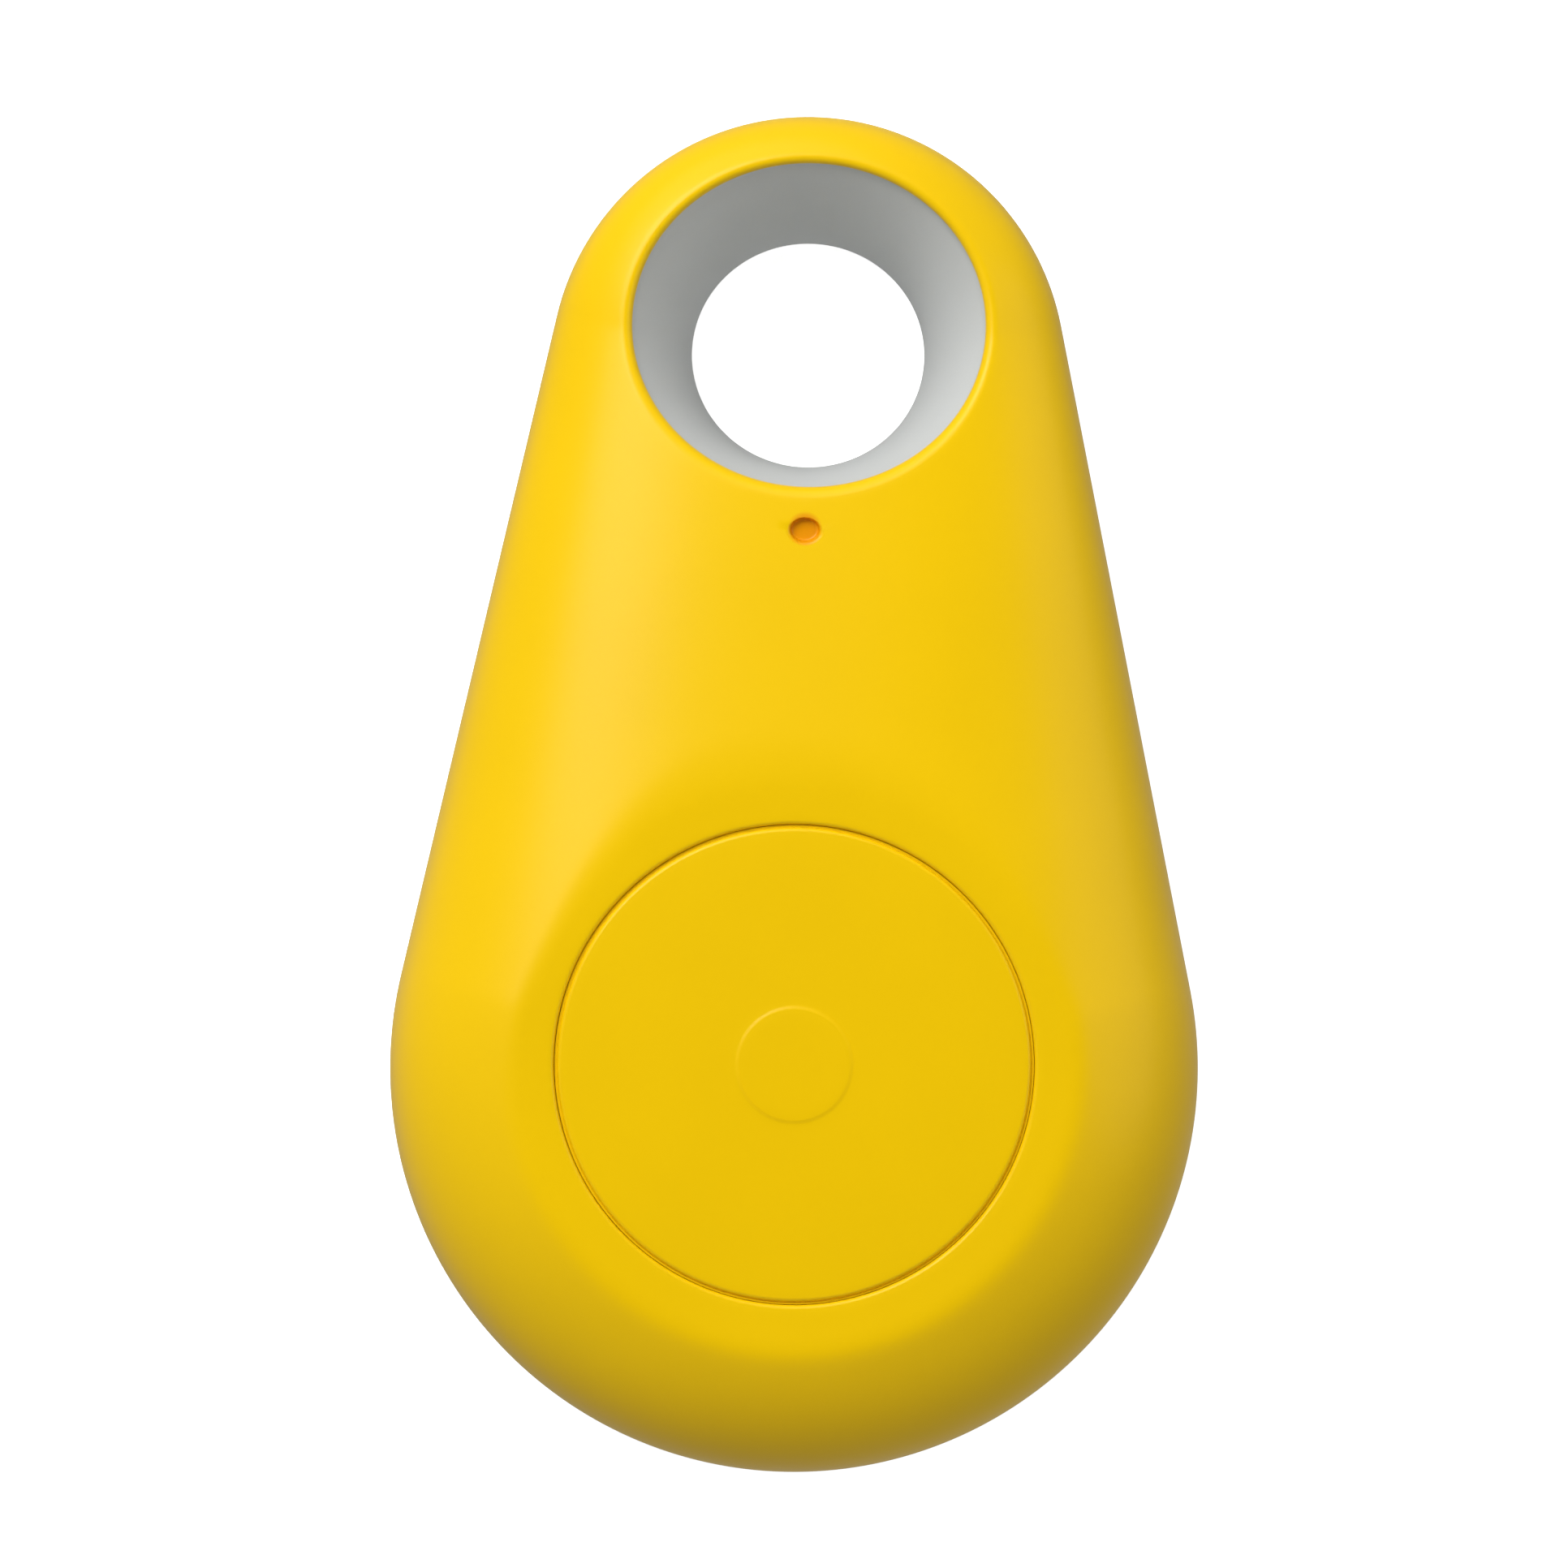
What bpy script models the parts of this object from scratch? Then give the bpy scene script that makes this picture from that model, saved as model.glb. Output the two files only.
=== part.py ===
"""Bluetooth tracker tag, modelled as the assembly it is.

The tag lies on its back. +Z points out of its front, where the button is, and +Y points to
the key ring end. The origin is on the back face, below the middle of the outline's box.
Lengths are in metres.
"""

import math

import bmesh
import bpy
from mathutils import Matrix, Vector

MM = 0.001

# The outline is the hull of a large circle round the button and a smaller one at the eye.
LENGTH = 52.0 * MM
WIDTH = 31.0 * MM
BASE_RADIUS = WIDTH / 2
EYE_END_RADIUS = 9.9 * MM
BASE_Y = BASE_RADIUS - LENGTH / 2
EYE_END_Y = LENGTH / 2 - EYE_END_RADIUS
TAPER = math.asin((BASE_RADIUS - EYE_END_RADIUS) / (EYE_END_Y - BASE_Y))

# The front is a dome whose crest falls towards the eye, cut by a flat facet at the button.
FACET_Z = 10.85 * MM
FACET_RADIUS = 11.15 * MM
FACET_SOFTNESS = 0.15 * MM
CREST_SLOPE = math.tan(math.radians(7.0))
DOME_POWER = 2.5
WIDEST_Z = 5.0 * MM
PARTING_Z = 3.8 * MM
WALL = 1.2 * MM

# The back: a flat face with a rounded edge, a floor, and a tongue that guides the front cover.
REAR_INSET = 0.15 * MM
REAR_ROUND = 2.9 * MM
REAR_POWER = 2.3
FLOOR_Z = 1.0 * MM
TONGUE_INSET = 1.3 * MM
TONGUE_THICKNESS = 0.8 * MM
TONGUE_TOP_Z = 5.2 * MM

# The key ring eye: a funnel from a small rear mouth to a wide front mouth.
EYE_REAR = (4.5 * MM, 4.33 * MM)
EYE_FRONT = (6.74 * MM, 6.2 * MM)
EYE_REAR_Y = 17.0 * MM
EYE_FRONT_Y = 17.9 * MM
EYE_REAR_Z = 0.8 * MM
EYE_FRONT_Z = 8.2 * MM
EYE_ROUND = 0.8 * MM
EYE_WALL = 0.6 * MM
EYE_FOOT_WALL = 1.0 * MM
LIP = 0.5 * MM
LIP_REBATE = 0.8 * MM
FIT = 0.05 * MM

# The button: a cap in the facet's opening, with a flange behind the cover and a central post.
BUTTON_Y = BASE_Y + 0.25 * MM
BUTTON_GAP = 0.14 * MM
BUTTON_RADIUS = 9.0 * MM
OPENING_RADIUS = BUTTON_RADIUS + BUTTON_GAP
BUTTON_TOP_Z = 10.8 * MM
BUTTON_CROWN = 0.14 * MM
BUTTON_PLATE = 1.1 * MM
BUTTON_EDGE = 0.22 * MM
BUTTON_SKIRT = 0.8 * MM
BUTTON_FLANGE_RADIUS = 9.85 * MM
BUTTON_FLANGE_Z = (8.9 * MM, 9.45 * MM)
BUTTON_POST_RADIUS = 1.3 * MM
DISC_RADIUS = 2.3 * MM
DISC_RISE = 0.06 * MM
GUIDE_RING = (10.1 * MM, 10.8 * MM)
GUIDE_RING_Z = 8.4 * MM

DIMPLE_Y = 10.05 * MM
DIMPLE_RADIUS = 0.6 * MM
DIMPLE_DEPTH = 0.7 * MM

# The board stands on the rear cover's posts, whose pins pass through it.
BOARD_Z = 5.1 * MM
BOARD_THICKNESS = 0.8 * MM
BOARD_TOP = BOARD_Z + BOARD_THICKNESS
BOARD_INSET = 2.6 * MM
BOARD_END_Y = 10.2 * MM
POST_PLACES = [(7.9 * MM, 4.6 * MM), (7.5 * MM, -19.6 * MM)]
POST_RADIUS = 0.9 * MM
PIN_RADIUS = 0.45 * MM
PIN_HOLE_RADIUS = 0.6 * MM
PIN_TOP_Z = 6.7 * MM

# The coin cell lies under the board, in a steel clip, with its positive can at the back.
CELL_RADIUS = 10.0 * MM
CELL_HEIGHT = 3.2 * MM
CELL_Z = 1.55 * MM
CELL_CRIMP_DROP = 0.3 * MM
CELL_LIP = 0.7 * MM
SHEET = 0.25 * MM
CLIP_SHEET = 0.2 * MM
CLIP_WIDTH = 6.0 * MM
CLIP_REACH = 10.6 * MM
CLIP_FOOT = 1.5 * MM

# The press switch under the button.
SWITCH_SIDE = 5.2 * MM
SWITCH_HEIGHT = 1.3 * MM
SWITCH_WELL_RADIUS = 1.9 * MM
SWITCH_FLOOR = 0.35 * MM
PLUNGER_RADIUS = 1.2 * MM
PLUNGER_FLANGE = 1.65 * MM
PLUNGER_TOP_Z = 8.35 * MM

SOUNDER_Y = 5.4 * MM
SOUNDER_SIDE = 8.5 * MM
SOUNDER_Z = (2.05 * MM, 5.05 * MM)
SOUNDER_WALL = 0.45 * MM
SOUND_HOLE_RADIUS = 0.9 * MM

SOUNDER_TERMINAL = (0.9 * MM, 1.6 * MM, 0.25 * MM)
SOUNDER_TERMINAL_X = 4.75 * MM
DIAPHRAGM_SHEET = 0.08 * MM
MAGNET_RADIUS = 2.8 * MM
COIL_RADII = (1.1 * MM, 2.4 * MM)
CORE_RADIUS = 1.0 * MM
PAD_SIDE = 5.0 * MM

# Small parts on the board: length, width and height.
CRYSTAL_PLACE = (8.3 * MM, -3.6 * MM, 0.0)
CRYSTAL_BASE = (3.2 * MM, 2.5 * MM, 0.4 * MM)
CRYSTAL_LID = (2.9 * MM, 2.2 * MM, 0.35 * MM)
LED_FROM_END = 1.0 * MM
LED_BODY = (2.0 * MM, 1.2 * MM, 0.35 * MM)
LED_LENS = (1.3 * MM, 1.1 * MM, 0.45 * MM)
TRANSISTOR_PLACE = (-8.2 * MM, -2.9 * MM, 0.0)
TRANSISTOR = (2.9 * MM, 1.3 * MM, 0.9 * MM)
SMALL_CHIP = (1.6 * MM, 0.8 * MM, 0.5 * MM)
INNER_COLUMN_X = 5.6 * MM
INNER_COLUMN_PITCH = 2.1 * MM
OUTER_COLUMN_X = 8.4 * MM
OUTER_COLUMN_PITCH = 2.0 * MM
ANTENNA_RADII = (11.3 * MM, 12.2 * MM)
ANTENNA_ANGLES = (math.radians(-121), math.radians(-59))
ANTENNA_TURNS = 24
ANTENNA_HALF_TRACK = 0.22 * MM
ANTENNA_COPPER = 0.05 * MM

CHIP_Y = 0.7 * MM
CHIP_SIZE = (9.9 * MM, 3.9 * MM, 1.4 * MM)
CHIP_STANDOFF = 0.15 * MM

# Stations along half the outline, from the base's lowest point to the eye end's highest.
BASE_ARC = 16
SIDE_BY_BUTTON = 8
SIDE_BY_WEB = 6
SIDE_BY_EYE = 8
EYE_END_ARC = 9
STATIONS = BASE_ARC + SIDE_BY_BUTTON + SIDE_BY_WEB + SIDE_BY_EYE + EYE_END_ARC
WEB_START = BASE_ARC + SIDE_BY_BUTTON
WEB_END = WEB_START + SIDE_BY_WEB

MERGE = 1e-7

FINISHES = {
    "cover_yellow": ((0.82, 0.53, 0.01), 0.38, 0.0),
    "cover_white": ((0.72, 0.72, 0.69), 0.4, 0.0),
    "board_green": ((0.02, 0.17, 0.07), 0.45, 0.0),
    "bright_steel": ((0.62, 0.62, 0.6), 0.28, 1.0),
    "nickel": ((0.7, 0.69, 0.66), 0.22, 1.0),
    "tin": ((0.68, 0.69, 0.7), 0.35, 1.0),
    "gold": ((0.83, 0.62, 0.25), 0.3, 1.0),
    "copper": ((0.75, 0.36, 0.18), 0.35, 1.0),
    "black_moulding": ((0.02, 0.02, 0.022), 0.5, 0.0),
    "ceramic_tan": ((0.42, 0.3, 0.2), 0.5, 0.0),
    "led_white": ((0.8, 0.8, 0.76), 0.45, 0.0),
    "clear_resin": ((0.85, 0.87, 0.85), 0.15, 0.0),
    "magnet_grey": ((0.12, 0.12, 0.13), 0.55, 0.0),
    "foam_grey": ((0.16, 0.16, 0.17), 0.9, 0.0),
    "gasket_black": ((0.04, 0.04, 0.04), 0.55, 0.0),
    "cathode_black": ((0.03, 0.03, 0.035), 0.8, 0.0),
    "separator_white": ((0.85, 0.85, 0.83), 0.8, 0.0),
    "lithium_grey": ((0.45, 0.46, 0.48), 0.4, 1.0),
}


# ---------------------------------------------------------------- scene and objects


def clear_scene():
    for obj in list(bpy.data.objects):
        bpy.data.objects.remove(obj)


def finish_material(name):
    """The Principled material of one finish, made the first time it is asked for."""
    material = bpy.data.materials.get(name)
    if material is None:
        colour, roughness, metallic = FINISHES[name]
        material = bpy.data.materials.new(name)
        material.use_nodes = True
        shader = material.node_tree.nodes["Principled BSDF"]
        shader.inputs["Base Color"].default_value = (*colour, 1.0)
        shader.inputs["Roughness"].default_value = roughness
        shader.inputs["Metallic"].default_value = metallic
    return material


def add_body(name, place):
    """An empty that the pieces of one moving body are parented to."""
    empty = bpy.data.objects.new(name, None)
    empty.location = place
    bpy.context.scene.collection.objects.link(empty)
    return empty


def add_piece(name, bm, finish, body, place=(0.0, 0.0, 0.0)):
    """Turns a bmesh, drawn about place, into a named object on its body."""
    bmesh.ops.recalc_face_normals(bm, faces=bm.faces[:])
    mesh = bpy.data.meshes.new(name)
    bm.to_mesh(mesh)
    bm.free()
    mesh.shade_smooth()
    mesh.set_sharp_from_angle(angle=math.radians(30))
    mesh.materials.append(finish_material(finish))
    obj = bpy.data.objects.new(name, mesh)
    obj.parent = body
    obj.location = Vector(place) - body.location
    bpy.context.scene.collection.objects.link(obj)
    return obj


def add_pieces(name, solids, finish, body, place=(0.0, 0.0, 0.0)):
    """Like pieces, numbered from 1, one object each."""
    for number, solid in enumerate(solids, start=1):
        add_piece(f"{name}_{number}", solid, finish, body, place)


def apply_boolean(obj, bm, operation, name):
    """Joins or cuts obj with the solids of bm, which stay in the scene as a hidden guide."""
    guide = add_piece(name, bm, "black_moulding", obj.parent)
    guide.location = -guide.parent.location
    guide.hide_render = True
    guide.display_type = "WIRE"
    modifier = obj.modifiers.new(name, "BOOLEAN")
    modifier.operation = operation
    modifier.solver = "EXACT"
    modifier.object = guide


# ---------------------------------------------------------------- simple solids


def merge_into(bm, other):
    """Adds another bmesh's solids to bm."""
    mesh = bpy.data.meshes.new("joined")
    other.to_mesh(mesh)
    other.free()
    bm.from_mesh(mesh)
    bpy.data.meshes.remove(mesh)


def turned(profile, segments, centre=(0.0, 0.0)):
    """Solid turned about a vertical axis from (radius, height) pairs; a ring if none is on it."""
    bm = bmesh.new()
    verts = [bm.verts.new((radius, 0.0, height)) for radius, height in profile]
    edges = [bm.edges.new(pair) for pair in zip(verts, verts[1:])]
    if profile[0][0] > MERGE:
        edges.append(bm.edges.new((verts[-1], verts[0])))
    bmesh.ops.spin(
        bm,
        geom=verts + edges,
        axis=(0, 0, 1),
        cent=(0, 0, 0),
        steps=segments,
        angle=math.tau,
        use_merge=True,
    )
    bmesh.ops.remove_doubles(bm, verts=bm.verts[:], dist=MERGE)
    bmesh.ops.translate(bm, verts=bm.verts[:], vec=(*centre, 0.0))
    bmesh.ops.recalc_face_normals(bm, faces=bm.faces[:])
    return bm


def disc(radius, low, high, segments=32, centre=(0.0, 0.0)):
    return turned([(0.0, low), (radius, low), (radius, high), (0.0, high)], segments, centre)


def ring(inner, outer, low, high, segments=48, centre=(0.0, 0.0)):
    return turned([(inner, low), (outer, low), (outer, high), (inner, high)], segments, centre)


def block(size, centre, bevel=0.0):
    """A box of a size about a centre, with its edges bevelled."""
    bm = bmesh.new()
    bmesh.ops.create_cube(bm, size=1.0, matrix=Matrix.Diagonal((*size, 1.0)))
    if bevel:
        bmesh.ops.bevel(
            bm,
            geom=bm.edges[:],
            offset=bevel,
            offset_type="OFFSET",
            segments=1,
            profile=0.5,
            affect="EDGES",
            clamp_overlap=True,
        )
    bmesh.ops.translate(bm, verts=bm.verts[:], vec=centre)
    return bm


def slab(size_x, size_y, low, high, centre=(0.0, 0.0), bevel=0.0):
    """A box between two heights."""
    middle = (centre[0], centre[1], (low + high) / 2)
    return block((size_x, size_y, high - low), middle, bevel)


def standing(size, low, bevel=0.0):
    """A box of a length, width and height that stands at a height."""
    return slab(size[0], size[1], low, low + size[2], bevel=bevel)


def prism(points, low, high):
    """A flat outline raised between two heights."""
    bm = bmesh.new()
    face = bm.faces.new([bm.verts.new((x, y, low)) for x, y in points])
    raised = bmesh.ops.extrude_face_region(bm, geom=[face], use_keep_orig=True)
    top = [item for item in raised["geom"] if isinstance(item, bmesh.types.BMVert)]
    bmesh.ops.translate(bm, verts=top, vec=(0.0, 0.0, high - low))
    bmesh.ops.recalc_face_normals(bm, faces=bm.faces[:])
    return bm


def bent_strip(points, half_width):
    """A strip of sheet whose edge view is an outline in (across, height)."""
    bm = bmesh.new()
    face = bm.faces.new([bm.verts.new((across, -half_width, z)) for across, z in points])
    raised = bmesh.ops.extrude_face_region(bm, geom=[face], use_keep_orig=True)
    far = [item for item in raised["geom"] if isinstance(item, bmesh.types.BMVert)]
    bmesh.ops.translate(bm, verts=far, vec=(0.0, 2 * half_width, 0.0))
    bmesh.ops.recalc_face_normals(bm, faces=bm.faces[:])
    return bm


def grouped(solids):
    """Separate solids kept together in one bmesh."""
    bm = bmesh.new()
    for solid in solids:
        merge_into(bm, solid)
    return bm


# ---------------------------------------------------------------- the case's surfaces


def mix(start, end, share):
    return start + (end - start) * share


def soft_minimum(first, second, softness):
    """The smaller of two heights, with the crease between them rounded."""
    near = max(softness - abs(first - second), 0.0) / softness
    return min(first, second) - near * near * softness / 4


def front_height(x, y, shrink=0.0):
    """Height of the front's surface, or of the same surface shrunk by a wall's thickness."""
    spine_y = min(max(y - abs(x) * math.tan(TAPER), BASE_Y), EYE_END_Y)
    share = (spine_y - BASE_Y) / (EYE_END_Y - BASE_Y)
    radius = mix(BASE_RADIUS, EYE_END_RADIUS, share) - shrink
    reach = min(math.hypot(x, y - spine_y) / radius, 1.0)
    crest = FACET_Z - shrink + CREST_SLOPE * (BASE_Y + FACET_RADIUS - spine_y)
    rise = (1.0 - reach**DOME_POWER) ** (1.0 / DOME_POWER)
    dome = WIDEST_Z + (crest - WIDEST_Z) * rise
    return soft_minimum(dome, FACET_Z - shrink, FACET_SOFTNESS)


def outline_point(station, inset):
    """Point of the right half of the outline, moved inwards by inset."""
    side_end = STATIONS - EYE_END_ARC
    if station <= BASE_ARC:
        spine_y = BASE_Y
        radius = BASE_RADIUS
        angle = mix(-math.pi / 2, TAPER, station / BASE_ARC)
    elif station <= side_end:
        share = (station - BASE_ARC) / (side_end - BASE_ARC)
        spine_y = mix(BASE_Y, EYE_END_Y, share)
        radius = mix(BASE_RADIUS, EYE_END_RADIUS, share)
        angle = TAPER
    else:
        spine_y = EYE_END_Y
        radius = EYE_END_RADIUS
        angle = mix(TAPER, math.pi / 2, (station - side_end) / EYE_END_ARC)
    reach = radius - inset
    return Vector((reach * math.cos(angle), spine_y + reach * math.sin(angle)))


def eye_angle(station):
    """Angle round the eye of a station beside it, from its lowest point to its highest."""
    side_end = WEB_END + SIDE_BY_EYE
    if station <= side_end:
        return mix(-math.pi / 2, TAPER, (station - WEB_END) / SIDE_BY_EYE)
    return mix(TAPER, math.pi / 2, (station - side_end) / EYE_END_ARC)


def eye_point(angle, height, grow=0.0):
    """Point of the funnel's wall at a height, moved outwards by grow."""
    share = (height - EYE_REAR_Z) / (EYE_FRONT_Z - EYE_REAR_Z)
    share = min(max(share, 0.0), 1.0)
    reach_x = mix(EYE_REAR[0], EYE_FRONT[0], share) + grow
    reach_y = mix(EYE_REAR[1], EYE_FRONT[1], share) + grow
    centre_y = mix(EYE_REAR_Y, EYE_FRONT_Y, share)
    return Vector((reach_x * math.cos(angle), centre_y + reach_y * math.sin(angle)))


def on_plane(point):
    """Snaps a point that belongs on the plane of symmetry onto it."""
    return Vector((0.0, point.y)) if abs(point.x) < MERGE else point


def front_inner_point(station, grow):
    """Where the front cover's surface ends inwards: the opening, the web's middle or the eye."""
    if station <= BASE_ARC:
        angle = mix(-math.pi / 2, TAPER, station / BASE_ARC)
    else:
        angle = mix(TAPER, math.pi / 2, (station - BASE_ARC) / SIDE_BY_BUTTON)
    opening_top = BUTTON_Y + OPENING_RADIUS
    if station <= WEB_START:
        reach = Vector((math.cos(angle), math.sin(angle))) * OPENING_RADIUS
        return on_plane(Vector((0.0, BUTTON_Y)) + reach)
    if station < WEB_END:
        eye_bottom = eye_point(-math.pi / 2, EYE_FRONT_Z, grow).y
        return Vector((0.0, mix(opening_top, eye_bottom, (station - WEB_START) / SIDE_BY_WEB)))
    return on_plane(eye_point(eye_angle(station), EYE_FRONT_Z, grow))


def rear_inner_point(station, height, grow):
    """Where the rear cover's floor ends inwards: the middle line or the eye's tube."""
    if station < WEB_END:
        eye_bottom = eye_point(-math.pi / 2, height, grow).y
        return Vector((0.0, mix(BASE_Y, eye_bottom, station / WEB_END)))
    return on_plane(eye_point(eye_angle(station), height, grow))


def raised(point, height):
    return Vector((point.x, point.y, height))


def front_section(station):
    """Closed section of the front cover from the parting line, over the front and back inside."""
    outer_rows = 11
    inner_rows = 6
    crowding = 2.2
    rim = outline_point(station, 0.0)
    edge = front_inner_point(station, 0.0)
    rebate = front_inner_point(station, LIP_REBATE)
    inner_rim = outline_point(station, WALL)
    section = [raised(rim, PARTING_Z)]
    for row in range(outer_rows + 1):
        point = rim.lerp(edge, (row / outer_rows) ** crowding)
        section.append(raised(point, front_height(*point)))
    lip = LIP if station >= WEB_START else WALL
    if station >= WEB_START:
        section.append(raised(edge, front_height(*edge) - lip))
        section.append(raised(rebate, front_height(*rebate) - lip))
    else:
        section.append(raised(edge, front_height(*edge, WALL)))
        section.append(raised(edge, front_height(*edge, WALL)))
    for row in range(inner_rows + 1):
        point = inner_rim.lerp(rebate, (1 - row / inner_rows) ** crowding)
        section.append(raised(point, front_height(*point, WALL)))
    section.append(raised(inner_rim, PARTING_Z))
    return section


def rear_edge_point(station, share, inset, low, high, width):
    """Point of a rounded edge from its side (share 0) to its flat (share 1)."""
    turn = share * math.pi / 2
    across = 1 - math.cos(turn) ** (2 / REAR_POWER)
    down = math.sin(turn) ** (2 / REAR_POWER)
    return raised(outline_point(station, inset + width * across), mix(high, low, down))


def tube_top(point):
    """Height of the tube's front edge, just behind the front cover's lip."""
    return front_height(*point) - LIP - FIT


def tube_rows(station):
    """The eye's rear mouth, funnel, front edge and outer wall, or the floor's middle line."""
    round_rows = 3
    funnel_rows = 5
    rows = []
    if station < WEB_END:
        middle = rear_inner_point(station, EYE_REAR_Z, 0.0)
        count = round_rows + funnel_rows + 4
        return [raised(middle, mix(0.0, FLOOR_Z, row / (count - 1))) for row in range(count)]
    angle = eye_angle(station)
    for row in range(round_rows):
        turn = row / round_rows * math.pi / 2
        grow = EYE_ROUND * (1 - math.sin(turn))
        height = EYE_REAR_Z * (1 - math.cos(turn))
        rows.append(raised(on_plane(eye_point(angle, EYE_REAR_Z, grow)), height))
    inner_edge = on_plane(eye_point(angle, EYE_FRONT_Z))
    outer_edge = on_plane(eye_point(angle, EYE_FRONT_Z, EYE_WALL))
    top = tube_top(inner_edge)
    for row in range(funnel_rows + 1):
        share = row / funnel_rows
        height = mix(EYE_REAR_Z, top, share)
        point = on_plane(eye_point(angle, EYE_REAR_Z)).lerp(inner_edge, share)
        rows.append(raised(point, height))
    rows.append(raised(outer_edge, tube_top(outer_edge)))
    foot = on_plane(eye_point(angle, EYE_REAR_Z, EYE_FOOT_WALL))
    rows.append(raised(foot.lerp(outer_edge, 0.5), mix(FLOOR_Z, tube_top(outer_edge), 0.5)))
    rows.append(raised(foot, FLOOR_Z))
    return rows


def rear_section(station):
    """Closed section of the rear cover from its rim, round the back and back inside."""
    edge_rows = 6
    floor_rows = 2
    side_inset = REAR_INSET
    section = []
    for row in range(edge_rows + 1):
        share = row / edge_rows
        section.append(rear_edge_point(station, share, side_inset, 0.0, PARTING_Z, REAR_ROUND))
    flat_start = outline_point(station, side_inset + REAR_ROUND)
    mouth = rear_inner_point(station, EYE_REAR_Z, EYE_ROUND)
    if station < WEB_END:
        mouth = rear_inner_point(station, EYE_REAR_Z, 0.0)
    for row in range(1, floor_rows):
        section.append(raised(flat_start.lerp(mouth, row / floor_rows), 0.0))
    section.extend(tube_rows(station))
    foot = rear_inner_point(station, EYE_REAR_Z, EYE_FOOT_WALL)
    if station < WEB_END:
        foot = rear_inner_point(station, EYE_REAR_Z, 0.0)
    tongue_inner = TONGUE_INSET + TONGUE_THICKNESS
    inner_width = REAR_ROUND + REAR_INSET + WALL - tongue_inner - 0.3 * MM
    floor_end = outline_point(station, tongue_inner + inner_width)
    for row in range(1, floor_rows):
        section.append(raised(foot.lerp(floor_end, row / floor_rows), FLOOR_Z))
    for row in range(edge_rows - 1):
        share = 1 - row / (edge_rows - 2)
        point = rear_edge_point(station, share, tongue_inner, FLOOR_Z, PARTING_Z, inner_width)
        section.append(point)
    section.append(raised(outline_point(station, tongue_inner), TONGUE_TOP_Z))
    section.append(raised(outline_point(station, TONGUE_INSET), TONGUE_TOP_Z))
    section.append(raised(outline_point(station, TONGUE_INSET), PARTING_Z))
    return section


def shell_from_sections(section_of):
    """Closed shell through the closed sections of the right half, mirrored to the left."""
    sections = [section_of(station) for station in range(STATIONS + 1)]
    columns = len(sections[0])
    bm = bmesh.new()
    bmesh.ops.create_grid(bm, x_segments=columns, y_segments=STATIONS, size=0.5)
    for vert in bm.verts:
        column = round((vert.co.x + 0.5) * columns)
        station = round((vert.co.y + 0.5) * STATIONS)
        vert.co = sections[station][column % columns]
    bmesh.ops.remove_doubles(bm, verts=bm.verts[:], dist=MERGE)
    inside = [face for face in bm.faces if all(abs(vert.co.x) < MERGE for vert in face.verts)]
    bmesh.ops.delete(bm, geom=inside, context="FACES")
    loose = [vert for vert in bm.verts if not vert.link_faces]
    bmesh.ops.delete(bm, geom=loose, context="VERTS")
    half = bm.verts[:] + bm.edges[:] + bm.faces[:]
    bmesh.ops.mirror(bm, geom=half, matrix=Matrix.Identity(4), merge_dist=MERGE, axis="X")
    bmesh.ops.recalc_face_normals(bm, faces=bm.faces[:])
    return bm


# ---------------------------------------------------------------- case pieces


def both_sides(places):
    """Each place and its mirror image."""
    return [(side * x, y) for x, y in places for side in (1, -1)]


def add_front_cover(body):
    """Domed front shell with the board's clamp pillars, the button's guide ring and the dimple."""
    cover = add_piece("front_cover", shell_from_sections(front_section), "cover_yellow", body)
    sink = 0.4 * MM
    pillars = []
    for x, y in both_sides(POST_PLACES):
        roof = front_height(x, y, WALL) + sink
        low = BOARD_TOP + FIT
        bore_top = PIN_TOP_Z + 0.3 * MM
        wall = POST_RADIUS + 0.15 * MM
        profile = [
            (PIN_HOLE_RADIUS, low),
            (wall, low),
            (wall, roof),
            (0.0, roof),
        ]
        profile = [(0.0, bore_top), (PIN_HOLE_RADIUS, bore_top)] + profile
        pillars.append(turned(profile, 16, (x, y)))
    apply_boolean(cover, grouped(pillars), "UNION", "front_cover_pillars")
    roof = FACET_Z - WALL / 2
    guide = ring(*GUIDE_RING, GUIDE_RING_Z, roof, 64, (0.0, BUTTON_Y))
    apply_boolean(cover, guide, "UNION", "front_cover_guide_ring")
    top = front_height(0.0, DIMPLE_Y)
    dimple = disc(DIMPLE_RADIUS, top - DIMPLE_DEPTH, top + DIMPLE_DEPTH, 16, (0.0, DIMPLE_Y))
    apply_boolean(cover, dimple, "DIFFERENCE", "front_cover_dimple")
    return cover


def add_rear_cover(body):
    """Rear tray with the eye's tube, the tongue and the board's posts."""
    cover = add_piece("rear_cover", shell_from_sections(rear_section), "cover_white", body)
    posts = []
    for x, y in both_sides(POST_PLACES):
        low = FLOOR_Z - 0.3 * MM
        shoulder = BOARD_Z - FIT
        profile = [
            (0.0, low),
            (POST_RADIUS, low),
            (POST_RADIUS, shoulder),
            (PIN_RADIUS, shoulder),
            (PIN_RADIUS, PIN_TOP_Z),
            (0.0, PIN_TOP_Z),
        ]
        posts.append(turned(profile, 16, (x, y)))
    apply_boolean(cover, grouped(posts), "UNION", "rear_cover_posts")
    return cover


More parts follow.
